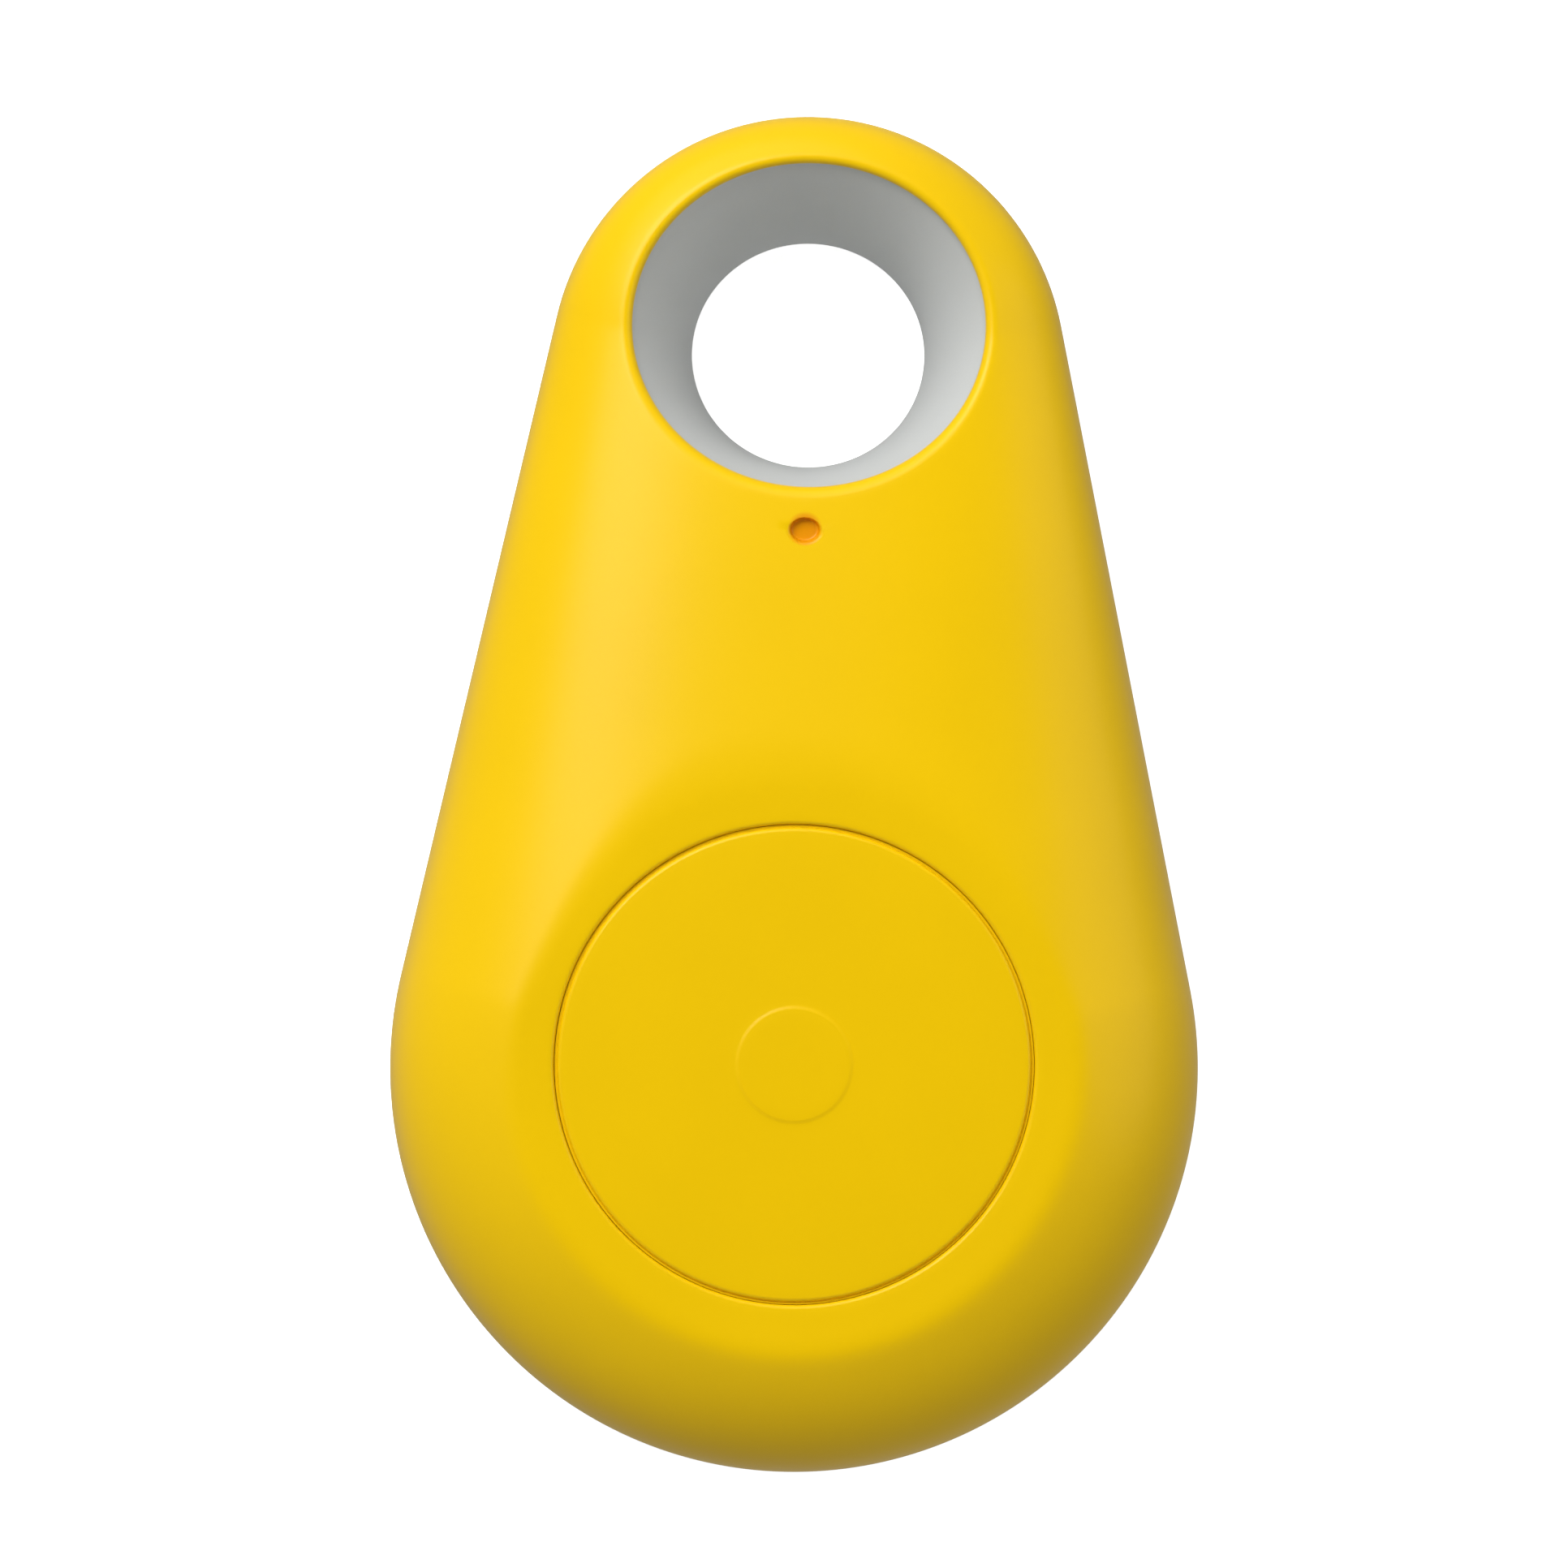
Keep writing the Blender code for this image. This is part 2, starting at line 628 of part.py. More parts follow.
def button_profile():
    """Half section of the button cap about its axis, from the post's tip to the top's middle."""
    crown_rows = 3
    plate_low = BUTTON_TOP_Z - BUTTON_PLATE
    flange_low, flange_high = BUTTON_FLANGE_Z
    skirt_inner = BUTTON_RADIUS - BUTTON_SKIRT
    profile = [
        (0.0, PLUNGER_TOP_Z + FIT),
        (BUTTON_POST_RADIUS, PLUNGER_TOP_Z + FIT),
        (BUTTON_POST_RADIUS, plate_low),
        (skirt_inner, plate_low),
        (skirt_inner, flange_low),
        (BUTTON_FLANGE_RADIUS, flange_low),
        (BUTTON_FLANGE_RADIUS, flange_high),
        (BUTTON_RADIUS, flange_high),
    ]
    edge_rows = 3
    for row in range(edge_rows + 1):
        turn = row / edge_rows * math.pi / 2
        radius = BUTTON_RADIUS - BUTTON_EDGE * (1 - math.cos(turn))
        profile.append((radius, BUTTON_TOP_Z - BUTTON_EDGE * (1 - math.sin(turn))))
    flat_radius = BUTTON_RADIUS - BUTTON_EDGE
    for row in range(1, crown_rows + 1):
        radius = mix(flat_radius, DISC_RADIUS, row / crown_rows)
        profile.append((radius, crown_height(radius, flat_radius)))
    disc_top = crown_height(DISC_RADIUS, flat_radius) + DISC_RISE
    profile.append((DISC_RADIUS - DISC_RISE, disc_top))
    profile.append((0.0, disc_top))
    return profile


def crown_height(radius, flat_radius):
    """Height of the button's slightly crowned top."""
    return BUTTON_TOP_Z + BUTTON_CROWN * (1 - (radius / flat_radius) ** 2)


def add_button_cap(body):
    """Press button with its flange, skirt and central post, drawn about its own axis."""
    return add_piece("button_cap", turned(button_profile(), 60), "cover_yellow", body, (0, BUTTON_Y, 0))


# ---------------------------------------------------------------- board and its parts


def board_outline():
    """Teardrop outline of the board, cut straight short of the eye's tube."""
    right = [outline_point(station, BOARD_INSET) for station in range(STATIONS + 1)]
    kept = [point for point in right if point.y < BOARD_END_Y]
    side = kept[-1]
    following = right[len(kept)]
    share = (BOARD_END_Y - side.y) / (following.y - side.y)
    kept.append(side.lerp(following, share))
    left = [Vector((-point.x, point.y)) for point in reversed(kept[1:])]
    return [tuple(point) for point in kept + left]


def add_circuit_board(body):
    board = add_piece(
        "circuit_board", prism(board_outline(), BOARD_Z, BOARD_TOP), "board_green", body
    )
    holes = [
        disc(PIN_HOLE_RADIUS, BOARD_Z - BOARD_THICKNESS, BOARD_TOP + BOARD_THICKNESS, 16, place)
        for place in both_sides(POST_PLACES)
    ]
    apply_boolean(board, grouped(holes), "DIFFERENCE", "circuit_board_pin_holes")
    return board


def add_switch(body, plunger_body):
    """Press switch: base with a round well, snap dome, plunger, steel frame and terminals."""
    centre = (0.0, BUTTON_Y)
    place = (0.0, BUTTON_Y, 0.0)
    low = BOARD_TOP + FIT
    high = low + SWITCH_HEIGHT
    floor = low + SWITCH_FLOOR
    base = slab(SWITCH_SIDE, SWITCH_SIDE, low, high, bevel=0.15 * MM)
    base_piece = add_piece("switch_base", base, "black_moulding", body, place)
    well = disc(SWITCH_WELL_RADIUS, floor, high + SWITCH_HEIGHT, 32, centre)
    apply_boolean(base_piece, well, "DIFFERENCE", "switch_base_well")

    dome_rise = 0.32 * MM
    dome_sheet = 0.08 * MM
    dome_radius = SWITCH_WELL_RADIUS - 0.15 * MM
    rows = 4
    under = []
    over = []
    for row in range(rows + 1):
        radius = dome_radius * row / rows
        lift = floor + FIT + dome_rise * (1 - (row / rows) ** 2)
        under.append((radius, lift))
        over.append((radius, lift + dome_sheet))
    add_piece("switch_dome", turned(under + over[::-1], 24), "nickel", plunger_body, place)

    dome_top = floor + FIT + dome_rise + dome_sheet
    flange_low = dome_top + FIT
    plunger_profile = [
        (0.0, flange_low),
        (PLUNGER_FLANGE, flange_low),
        (PLUNGER_FLANGE, high - FIT),
        (PLUNGER_RADIUS, high - FIT),
        (PLUNGER_RADIUS, PLUNGER_TOP_Z - FIT * 2),
        (PLUNGER_RADIUS - FIT * 2, PLUNGER_TOP_Z),
        (0.0, PLUNGER_TOP_Z),
    ]
    add_piece("switch_plunger", turned(plunger_profile, 32), "black_moulding", plunger_body, place)

    plate = 0.2 * MM
    frame = slab(SWITCH_SIDE, SWITCH_SIDE, high + FIT, high + FIT + plate, bevel=0.05 * MM)
    frame_piece = add_piece("switch_frame", frame, "bright_steel", body, place)
    mouth = disc(PLUNGER_RADIUS + 0.12 * MM, high - plate, high + 3 * plate, 32, centre)
    apply_boolean(frame_piece, mouth, "DIFFERENCE", "switch_frame_mouth")

    reach = 1.1 * MM
    start = SWITCH_SIDE / 2 + FIT
    legs = [
        slab(reach, 0.7 * MM, low, low + 0.2 * MM, (side * (start + reach / 2), offset))
        for side in (1, -1)
        for offset in (1.85 * MM, -1.85 * MM)
    ]
    add_pieces("switch_terminal", legs, "tin", body, place)


def add_radio_chip(body):
    """Moulded package of the radio chip."""
    package = standing(CHIP_SIZE, BOARD_TOP + CHIP_STANDOFF, bevel=0.12 * MM)
    add_piece("radio_chip", package, "black_moulding", body, (0.0, CHIP_Y, 0.0))


def add_crystal(body):
    """Clock crystal: a ceramic base with a metal lid."""
    seat = BOARD_TOP + FIT
    base = standing(CRYSTAL_BASE, seat)
    add_piece("crystal_base", base, "black_moulding", body, CRYSTAL_PLACE)
    lid = standing(CRYSTAL_LID, seat + CRYSTAL_BASE[2] + FIT, bevel=0.1 * MM)
    add_piece("crystal_lid", lid, "nickel", body, CRYSTAL_PLACE)


def add_indicator(body):
    """Indicator lamp under the front cover's dimple."""
    place = (0.0, BOARD_END_Y - LED_FROM_END, 0.0)
    seat = BOARD_TOP + FIT
    add_piece("indicator_led", standing(LED_BODY, seat), "led_white", body, place)
    lens = standing(LED_LENS, seat + LED_BODY[2] + FIT, bevel=0.1 * MM)
    add_piece("indicator_lens", lens, "clear_resin", body, place)


def add_sounder(body):
    """Magnetic sounder on the board's back: case, base, diaphragm, magnet, coil, core, legs."""
    place = (0.0, SOUNDER_Y, 0.0)
    centre = (0.0, SOUNDER_Y)
    low, high = SOUNDER_Z
    base_low = high - 0.4 * MM
    case = slab(SOUNDER_SIDE, SOUNDER_SIDE, low, base_low - FIT, bevel=0.3 * MM)
    case_piece = add_piece("sounder_case", case, "black_moulding", body, place)
    bore_radius = SOUNDER_SIDE / 2 - SOUNDER_WALL
    bore = disc(bore_radius, low + SOUNDER_WALL, high, 40, centre)
    apply_boolean(case_piece, bore, "DIFFERENCE", "sounder_case_bore")
    port = disc(SOUND_HOLE_RADIUS, low - SOUNDER_WALL, low + 3 * SOUNDER_WALL, 24, centre)
    apply_boolean(case_piece, port, "DIFFERENCE", "sounder_case_port")
    base = slab(SOUNDER_SIDE, SOUNDER_SIDE, base_low, high, bevel=0.1 * MM)
    add_piece("sounder_base", base, "black_moulding", body, place)
    skin = low + SOUNDER_WALL + 0.25 * MM
    diaphragm = disc(bore_radius - FIT, skin, skin + DIAPHRAGM_SHEET, 40)
    add_piece("sounder_diaphragm", diaphragm, "bright_steel", body, place)
    deck = skin + 0.4 * MM
    top = base_low - 0.1 * MM
    magnet = ring(MAGNET_RADIUS, bore_radius - 2 * FIT, deck, top, 40)
    add_piece("sounder_magnet", magnet, "magnet_grey", body, place)
    add_piece("sounder_coil", ring(*COIL_RADII, deck, top, 32), "copper", body, place)
    add_piece("sounder_core", disc(CORE_RADIUS, deck, top, 24), "bright_steel", body, place)
    reach, width, sheet = SOUNDER_TERMINAL
    legs = [
        slab(reach, width, high - sheet, high, (side * SOUNDER_TERMINAL_X, 0.0)) for side in (1, -1)
    ]
    add_pieces("sounder_terminal", legs, "tin", body, place)
    pad = slab(PAD_SIDE, PAD_SIDE, FLOOR_Z + FIT, low - FIT, bevel=0.1 * MM)
    foam = add_piece("sounder_pad", pad, "foam_grey", body, place)
    vent = disc(SOUND_HOLE_RADIUS, 0.5 * FLOOR_Z, low + FIT, 24, centre)
    apply_boolean(foam, vent, "DIFFERENCE", "sounder_pad_vent")


def add_transistor(body):
    """Transistor that drives the sounder."""
    package = standing(TRANSISTOR, BOARD_TOP + CHIP_STANDOFF, bevel=0.08 * MM)
    add_piece("driver_transistor", package, "black_moulding", body, TRANSISTOR_PLACE)


def chip_places():
    """Places of the small chips, as (x, y, turned a quarter), in two rows beside the switch."""
    places = []
    for row in range(4):
        y = BASE_Y + (row - 1.5) * INNER_COLUMN_PITCH
        places.append((INNER_COLUMN_X, y, False))
        places.append((-INNER_COLUMN_X, y, False))
    for row in range(3):
        places.append((OUTER_COLUMN_X, BASE_Y + (row - 1) * OUTER_COLUMN_PITCH, True))
    return places


def add_small_chips(body):
    """Chip resistors on the left and chip capacitors on the right of the switch."""
    chip_length, chip_width, height = SMALL_CHIP
    low = BOARD_TOP + FIT
    high = low + height
    solids = {"resistor": [], "capacitor": []}
    for x, y, quarter in chip_places():
        sides = (chip_width, chip_length) if quarter else (chip_length, chip_width)
        kind = "resistor" if x < 0 else "capacitor"
        solids[kind].append(slab(*sides, low, high, (x, y), bevel=0.05 * MM))
    add_pieces("resistor", solids["resistor"], "black_moulding", body)
    add_pieces("capacitor", solids["capacitor"], "ceramic_tan", body)


def add_antenna(body):
    """Printed antenna that zigzags along the board's lower edge."""
    inner, outer = ANTENNA_RADII
    line = []
    for turn in range(ANTENNA_TURNS + 1):
        angle = mix(*ANTENNA_ANGLES, turn / ANTENNA_TURNS)
        line.append((angle, outer if turn % 4 in (1, 2) else inner))
    outside = [(angle, radius + ANTENNA_HALF_TRACK) for angle, radius in line]
    inside = [(angle, radius - ANTENNA_HALF_TRACK) for angle, radius in reversed(line)]
    points = [
        (radius * math.cos(angle), BASE_Y + radius * math.sin(angle))
        for angle, radius in outside + inside
    ]
    low = BOARD_TOP + FIT
    add_piece("antenna_trace", prism(points, low, low + ANTENNA_COPPER), "copper", body)


# ---------------------------------------------------------------- power


def add_battery_clip(body):
    """Steel strap under the cell with a leg and a soldered foot on each side."""
    low = CELL_Z - 0.1 * MM - CLIP_SHEET
    foot_top = BOARD_Z - FIT
    inner = CLIP_REACH - CLIP_SHEET
    toe = CLIP_REACH + CLIP_FOOT
    right = [
        (inner, low + CLIP_SHEET),
        (inner, foot_top),
        (toe, foot_top),
        (toe, foot_top - CLIP_SHEET),
        (CLIP_REACH, foot_top - CLIP_SHEET),
        (CLIP_REACH, low),
    ]
    left = [(-across, z) for across, z in reversed(right)]
    strap = bent_strip(right + left, CLIP_WIDTH / 2)
    add_piece("battery_clip", strap, "nickel", body, (0.0, BASE_Y, 0.0))


def add_negative_contact(body):
    """Contact leaf between the cell's cap and the board."""
    low = CELL_Z + CELL_HEIGHT + 0.06 * MM
    high = BOARD_Z - 0.08 * MM
    leaf = turned([(0.0, low), (2.2 * MM, low), (3.2 * MM, high), (0.0, high)], 32)
    add_piece("negative_contact", leaf, "gold", body, (0.0, BASE_Y, 0.0))


def add_coin_cell(body):
    """Coin cell: can, gasket, cap, and the electrodes and separator inside them."""
    place = (0.0, BASE_Y, 0.0)
    low = CELL_Z
    top = CELL_Z + CELL_HEIGHT
    radius = CELL_RADIUS
    crimp = top - CELL_CRIMP_DROP
    lip = radius - CELL_LIP
    edge = 0.15 * MM
    can = [
        (0.0, low),
        (radius - edge, low),
        (radius, low + edge),
        (radius, crimp - edge),
        (radius - edge, crimp),
        (lip, crimp),
        (lip, crimp - SHEET),
        (radius - SHEET, crimp - SHEET),
        (radius - SHEET, low + SHEET),
        (0.0, low + SHEET),
    ]
    add_piece("cell_can", turned(can, 48), "nickel", body, place)
    outer = radius - SHEET - FIT
    inner = outer - 0.55 * MM
    seal_low = low + SHEET + FIT
    gasket = [
        (inner, seal_low),
        (outer, seal_low),
        (outer, crimp - SHEET - FIT),
        (lip - FIT, crimp - SHEET - FIT),
        (lip - FIT, crimp + FIT),
        (inner, crimp + FIT),
    ]
    add_piece("cell_gasket", turned(gasket, 48), "gasket_black", body, place)
    cap_radius = inner - FIT
    cap = [
        (0.0, top),
        (cap_radius - edge, top),
        (cap_radius, top - edge),
        (cap_radius, seal_low + FIT),
        (cap_radius - SHEET, seal_low + FIT),
        (cap_radius - SHEET, top - SHEET),
        (0.0, top - SHEET),
    ]
    add_piece("cell_cap", turned(cap, 48), "bright_steel", body, place)
    core = cap_radius - SHEET - 2 * FIT
    cathode_top = low + 1.6 * MM
    separator_top = cathode_top + 0.2 * MM
    cathode = disc(core, low + SHEET + FIT, cathode_top, 40)
    add_piece("cell_cathode", cathode, "cathode_black", body, place)
    separator = disc(core, cathode_top + FIT, separator_top, 40)
    add_piece("cell_separator", separator, "separator_white", body, place)
    lithium = disc(core - 0.6 * MM, separator_top + FIT, top - SHEET - FIT, 40)
    add_piece("cell_lithium", lithium, "lithium_grey", body, place)


def main():
    clear_scene()
    rear_case = add_body("rear_case", Vector((0.0, 0.0, 0.0)))
    front_case = add_body("front_case", Vector((0.0, 0.0, 0.0)))
    button = add_body("button", Vector((0.0, BUTTON_Y, 0.0)))
    plunger = add_body("plunger", Vector((0.0, BUTTON_Y, 0.0)))
    bpy.context.view_layer.update()
    add_rear_cover(rear_case)
    add_front_cover(front_case)
    add_button_cap(button)
    add_circuit_board(rear_case)
    add_switch(rear_case, plunger)
    add_radio_chip(rear_case)
    add_crystal(rear_case)
    add_indicator(rear_case)
    add_sounder(rear_case)
    add_transistor(rear_case)
    add_small_chips(rear_case)
    add_antenna(rear_case)
    add_battery_clip(rear_case)
    add_negative_contact(rear_case)
    add_coin_cell(rear_case)


main()
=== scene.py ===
"""Visible pieces of a teardrop key finder tag, built round its fixed frame.

The tag lies on its back: +Z points out of its front, and +Y points at the key ring eye.
Lengths are in metres. Run it as a script: it registers the tools, makes every piece and the
stage, and leaves the camera above the button.
"""

import math

import bmesh
import bpy
from bpy.props import FloatProperty, FloatVectorProperty, PointerProperty
from mathutils import Matrix, Vector


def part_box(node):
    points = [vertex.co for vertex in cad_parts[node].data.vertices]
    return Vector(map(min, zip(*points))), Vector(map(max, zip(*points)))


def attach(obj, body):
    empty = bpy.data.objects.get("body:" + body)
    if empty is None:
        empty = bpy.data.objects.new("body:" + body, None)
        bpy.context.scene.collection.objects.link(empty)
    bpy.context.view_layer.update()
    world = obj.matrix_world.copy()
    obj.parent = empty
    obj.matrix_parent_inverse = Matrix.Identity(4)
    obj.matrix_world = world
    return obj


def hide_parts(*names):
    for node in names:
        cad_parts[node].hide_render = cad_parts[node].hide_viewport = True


bl_info = {
    "name": "Key Finder Tag",
    "version": (1, 0, 0),
    "blender": (4, 5, 0),
    "location": "3D View > Sidebar > Tag",
    "description": "Builds the visible pieces of a teardrop key finder tag round its frame",
    "category": "Add Mesh",
}

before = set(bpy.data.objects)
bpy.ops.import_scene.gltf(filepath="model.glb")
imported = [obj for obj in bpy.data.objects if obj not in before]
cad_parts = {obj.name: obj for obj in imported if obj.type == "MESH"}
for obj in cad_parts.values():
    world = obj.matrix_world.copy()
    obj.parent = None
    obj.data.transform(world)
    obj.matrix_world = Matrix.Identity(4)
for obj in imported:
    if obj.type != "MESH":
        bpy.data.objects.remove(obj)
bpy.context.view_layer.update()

MM = 0.001
MERGE = 1e-7
QUARTER = math.pi / 2

FRONT_LOW, FRONT_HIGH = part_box("front_cover")
BUTTON_LOW, BUTTON_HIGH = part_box("button_cap")
BOARD_LOW, BOARD_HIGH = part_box("circuit_board")
BUTTON_Y = (BUTTON_LOW.y + BUTTON_HIGH.y) / 2


# ---------------------------------------------------------------- sizes and colours


def length(name, description, millimetres):
    """A length that the user can change, with its default in millimetres."""
    return FloatProperty(
        name=name,
        description=description,
        default=millimetres * MM,
        min=0.0,
        precision=5,
        subtype="DISTANCE",
        unit="LENGTH",
    )


def colour(name, description, red, green, blue):
    """A linear colour that the user can change."""
    return FloatVectorProperty(
        name=name,
        description=description,
        default=(red, green, blue),
        min=0.0,
        max=1.0,
        size=3,
        subtype="COLOR",
    )


class TagSizes(bpy.types.PropertyGroup):
    """Sizes of the case that the frame's boxes don't give."""

    eye_end_radius: length("Eye end radius", "Radius of the outline at the eye", 9.9)
    facet_radius: length("Facet radius", "Reach of the flat towards the eye", 11.15)
    facet_softness: length("Facet softness", "Rounding where the flat meets the dome", 0.15)
    facet_dish: length("Facet dish", "How far the flat sinks towards the button", 0.03)
    crest_slope: FloatProperty(
        name="Crest slope",
        description="How steeply the front falls towards the eye",
        default=math.radians(7.0),
        subtype="ANGLE",
        unit="ROTATION",
    )
    dome_power: FloatProperty(
        name="Dome power",
        description="Squareness of the front's shoulders; 2 is an ellipse",
        default=2.5,
        min=1.5,
        max=6.0,
    )
    rear_power: FloatProperty(
        name="Back edge power",
        description="Squareness of the back's edge; 2 is a quarter circle",
        default=2.3,
        min=1.5,
        max=6.0,
    )
    widest_height: length("Widest height", "Height at which the case is widest", 5.0)
    wall: length("Wall", "Thickness of the front cover", 1.2)
    rear_inset: length("Back inset", "Step from the front cover to the back", 0.15)
    rear_round: length("Back rounding", "Width of the back's rounded edge", 2.9)
    floor_height: length("Floor", "Thickness of the back under the parts", 1.0)
    tongue_inset: length("Tongue inset", "Step from the outline to the tongue", 1.3)
    tongue_thickness: length("Tongue thickness", "Thickness of the tongue", 0.8)
    tongue_height: length("Tongue top", "Height of the tongue's top edge", 5.2)
    edge_round: length("Edge rounding", "Rounding of moulded edges", 0.12)
    opening_round: length("Opening rounding", "Rounding of the button opening's edge", 0.17)
    button_gap: length("Button gap", "Gap round the button", 0.11)
    button_round: length("Button rounding", "Rounding of the button's edge", 0.18)
    button_plate: length("Button plate", "Thickness of the button's top", 1.1)
    button_crown: length("Button crown", "Rise of the button towards its middle", 0.14)
    button_skirt: length("Button skirt", "Thickness of the button's skirt", 0.8)
    flange_height: length("Button flange", "Thickness of the button's flange", 0.55)
    post_radius: length("Button post", "Radius of the post behind the button", 1.3)
    disc_radius: length("Button disc radius", "Radius of the low disc on the button", 2.18)
    disc_rise: length("Button disc rise", "Height of the low disc on the button", 0.035)
    lip: length("Eye lip", "Thickness of the front cover's lip at the eye", 0.5)
    lip_round: length("Eye lip rounding", "Rounding of the lip at the eye", 0.45)
    lip_rebate: length("Eye lip rebate", "Width of the lip over the eye's lining", 0.8)
    fit: length("Fit", "Gap between pieces that touch", 0.05)
    eye_rear_x: length("Eye back half width", "Half width of the eye at the back", 4.5)
    eye_rear_y: length("Eye back half height", "Half height of the eye at the back", 4.33)
    eye_rear_place: length("Eye back place", "Place of the eye's middle at the back", 17.0)
    eye_front_x: length("Eye front half width", "Half width of the eye in front", 6.74)
    eye_front_y: length("Eye front half height", "Half height of the eye in front", 6.2)
    eye_front_place: length("Eye front place", "Place of the eye's middle in front", 17.9)
    eye_rear_height: length("Eye back height", "Height where the funnel starts", 0.8)
    eye_front_height: length("Eye front height", "Height where the funnel is widest", 8.2)
    eye_round: length("Eye back rounding", "Rounding of the eye's back mouth", 0.8)
    eye_wall: length("Lining wall", "Thickness of the lining at its front", 0.6)
    eye_foot_wall: length("Lining foot wall", "Thickness of the lining at its foot", 1.0)
    dimple_place: length("Dimple place", "Place of the indicator dimple", 10.05)
    dimple_radius: length("Dimple radius", "Radius of the indicator dimple", 0.57)
    dimple_depth: length("Dimple depth", "Depth of the indicator dimple", 0.34)
    grain: length("Moulding grain", "Size of the fine grain on the covers", 0.11)


class TagColours(bpy.types.PropertyGroup):
    """Colours of the pieces, as linear values."""

    cover_yellow: colour("Cover yellow", "Front cover and button", 0.85, 0.535, 0.0)
    cover_white: colour("Cover white", "Rear cover and eye lining", 0.585, 0.6, 0.59)
    board_green: colour("Board green", "Solder mask", 0.012, 0.13, 0.045)
    black_moulding: colour("Black moulding", "Chips, switch and sounder", 0.018, 0.018, 0.02)
    bright_steel: colour("Bright steel", "Switch plate and cell cap", 0.62, 0.62, 0.61)
    nickel: colour("Nickel", "Cell can and battery clip", 0.68, 0.66, 0.62)
    tin: colour("Tin", "Leads, end caps and solder", 0.66, 0.67, 0.68)
    gold: colour("Gold", "Pads and contact leaf", 0.8, 0.58, 0.22)
    copper: colour("Copper", "Antenna and coil", 0.72, 0.34, 0.17)
    ceramic_tan: colour("Ceramic tan", "Chip capacitors", 0.4, 0.27, 0.16)


# ---------------------------------------------------------------- materials

# Painted shade in the dimple: the deeper amber that stands in for the darker, redder light deep in
# the recess, its reach from the middle of the floor, its fading edge.
PAINTED_DIMPLE_SHADE = (0.76, 0.3, 0.0)
PAINTED_SHADE_REACH = 0.6 * MM
PAINTED_SHADE_FADE = 0.16 * MM

# Pitch of the glass weave in the board.
WEAVE_PITCH = 0.45 * MM

# Share of a pattern's range between which a tone or a roughness changes.
PATTERN_LOW = 0.3
PATTERN_HIGH = 0.7


class Finish:
    """A node material that its helpers build up, on Object coordinates."""

    def __init__(self, name):
        self.material = bpy.data.materials.new(name)
        self.material.use_nodes = True
        self.nodes = self.material.node_tree.nodes
        self.shader = self.nodes["Principled BSDF"].inputs
        self.place = self.nodes.new("ShaderNodeTexCoord").outputs["Object"]

    def link(self, output, value):
        """Feeds an output into an input."""
        self.material.node_tree.links.new(output, value)

    def node(self, kind, values):
        """A new node with its inputs set, or linked where the value is another's output."""
        made = self.nodes.new("ShaderNode" + kind)
        for key, value in values.items():
            if isinstance(value, bpy.types.NodeSocket):
                self.link(value, made.inputs[key])
            else:
                made.inputs[key].default_value = value
        return made

    def noise(self, size, detail=2.0, stretch=None):
        """Noise whose features are about size long, stretched along an axis if asked."""
        place = self.place
        if stretch is not None:
            place = self.node("Mapping", {"Vector": place, "Scale": stretch}).outputs["Vector"]
        values = {"Vector": place, "Scale": 1.0 / size, "Detail": detail}
        return self.node("TexNoise", values).outputs["Fac"]

    def tones(self, factor, dark, light):
        """Base colour that drifts between two tones."""
        ramp = self.node("ValToRGB", {"Fac": factor})
        stops = ((PATTERN_LOW, dark), (PATTERN_HIGH, light))
        for stop, (position, tone) in zip(ramp.color_ramp.elements, stops):
            stop.position = position
            stop.color = (*tone, 1.0)
        self.link(ramp.outputs["Color"], self.shader["Base Color"])

    def roughness(self, factor, low, high):
        """Roughness that varies between two values."""
        values = {"Value": factor, "From Min": PATTERN_LOW, "From Max": PATTERN_HIGH}
        spread = self.node("MapRange", {**values, "To Min": low, "To Max": high})
        self.link(spread.outputs["Result"], self.shader["Roughness"])

    def bump(self, factor, strength, depth):
        """Fine relief from a pattern."""
        relief = self.node("Bump", {"Height": factor, "Strength": strength, "Distance": depth})
        self.link(relief.outputs["Normal"], self.shader["Normal"])

    def set(self, **values):
        """Sets the shader's own values, with each name's spaces written as underscores."""
        for key, value in values.items():
            self.shader[key.replace("_", " ")].default_value = value


def shade(tone, factor):
    """A colour made darker or lighter."""
    return tuple(min(part * factor, 1.0) for part in tone)


def moulded_plastic(name, tone, roughness, grain, depth=0.006 * MM, drift=0.03):
    """Moulded plastic: fine spark-eroded grain, cloudy tone and slightly uneven gloss."""
    finish = Finish(name)
    finish.tones(finish.noise(9 * MM, 3.0), shade(tone, 1 - drift), shade(tone, 1 + drift))
    finish.roughness(finish.noise(2.5 * MM, 4.0), roughness - 0.03, roughness + 0.04)
    finish.bump(finish.noise(grain, 3.0), 0.5, depth)
    return finish


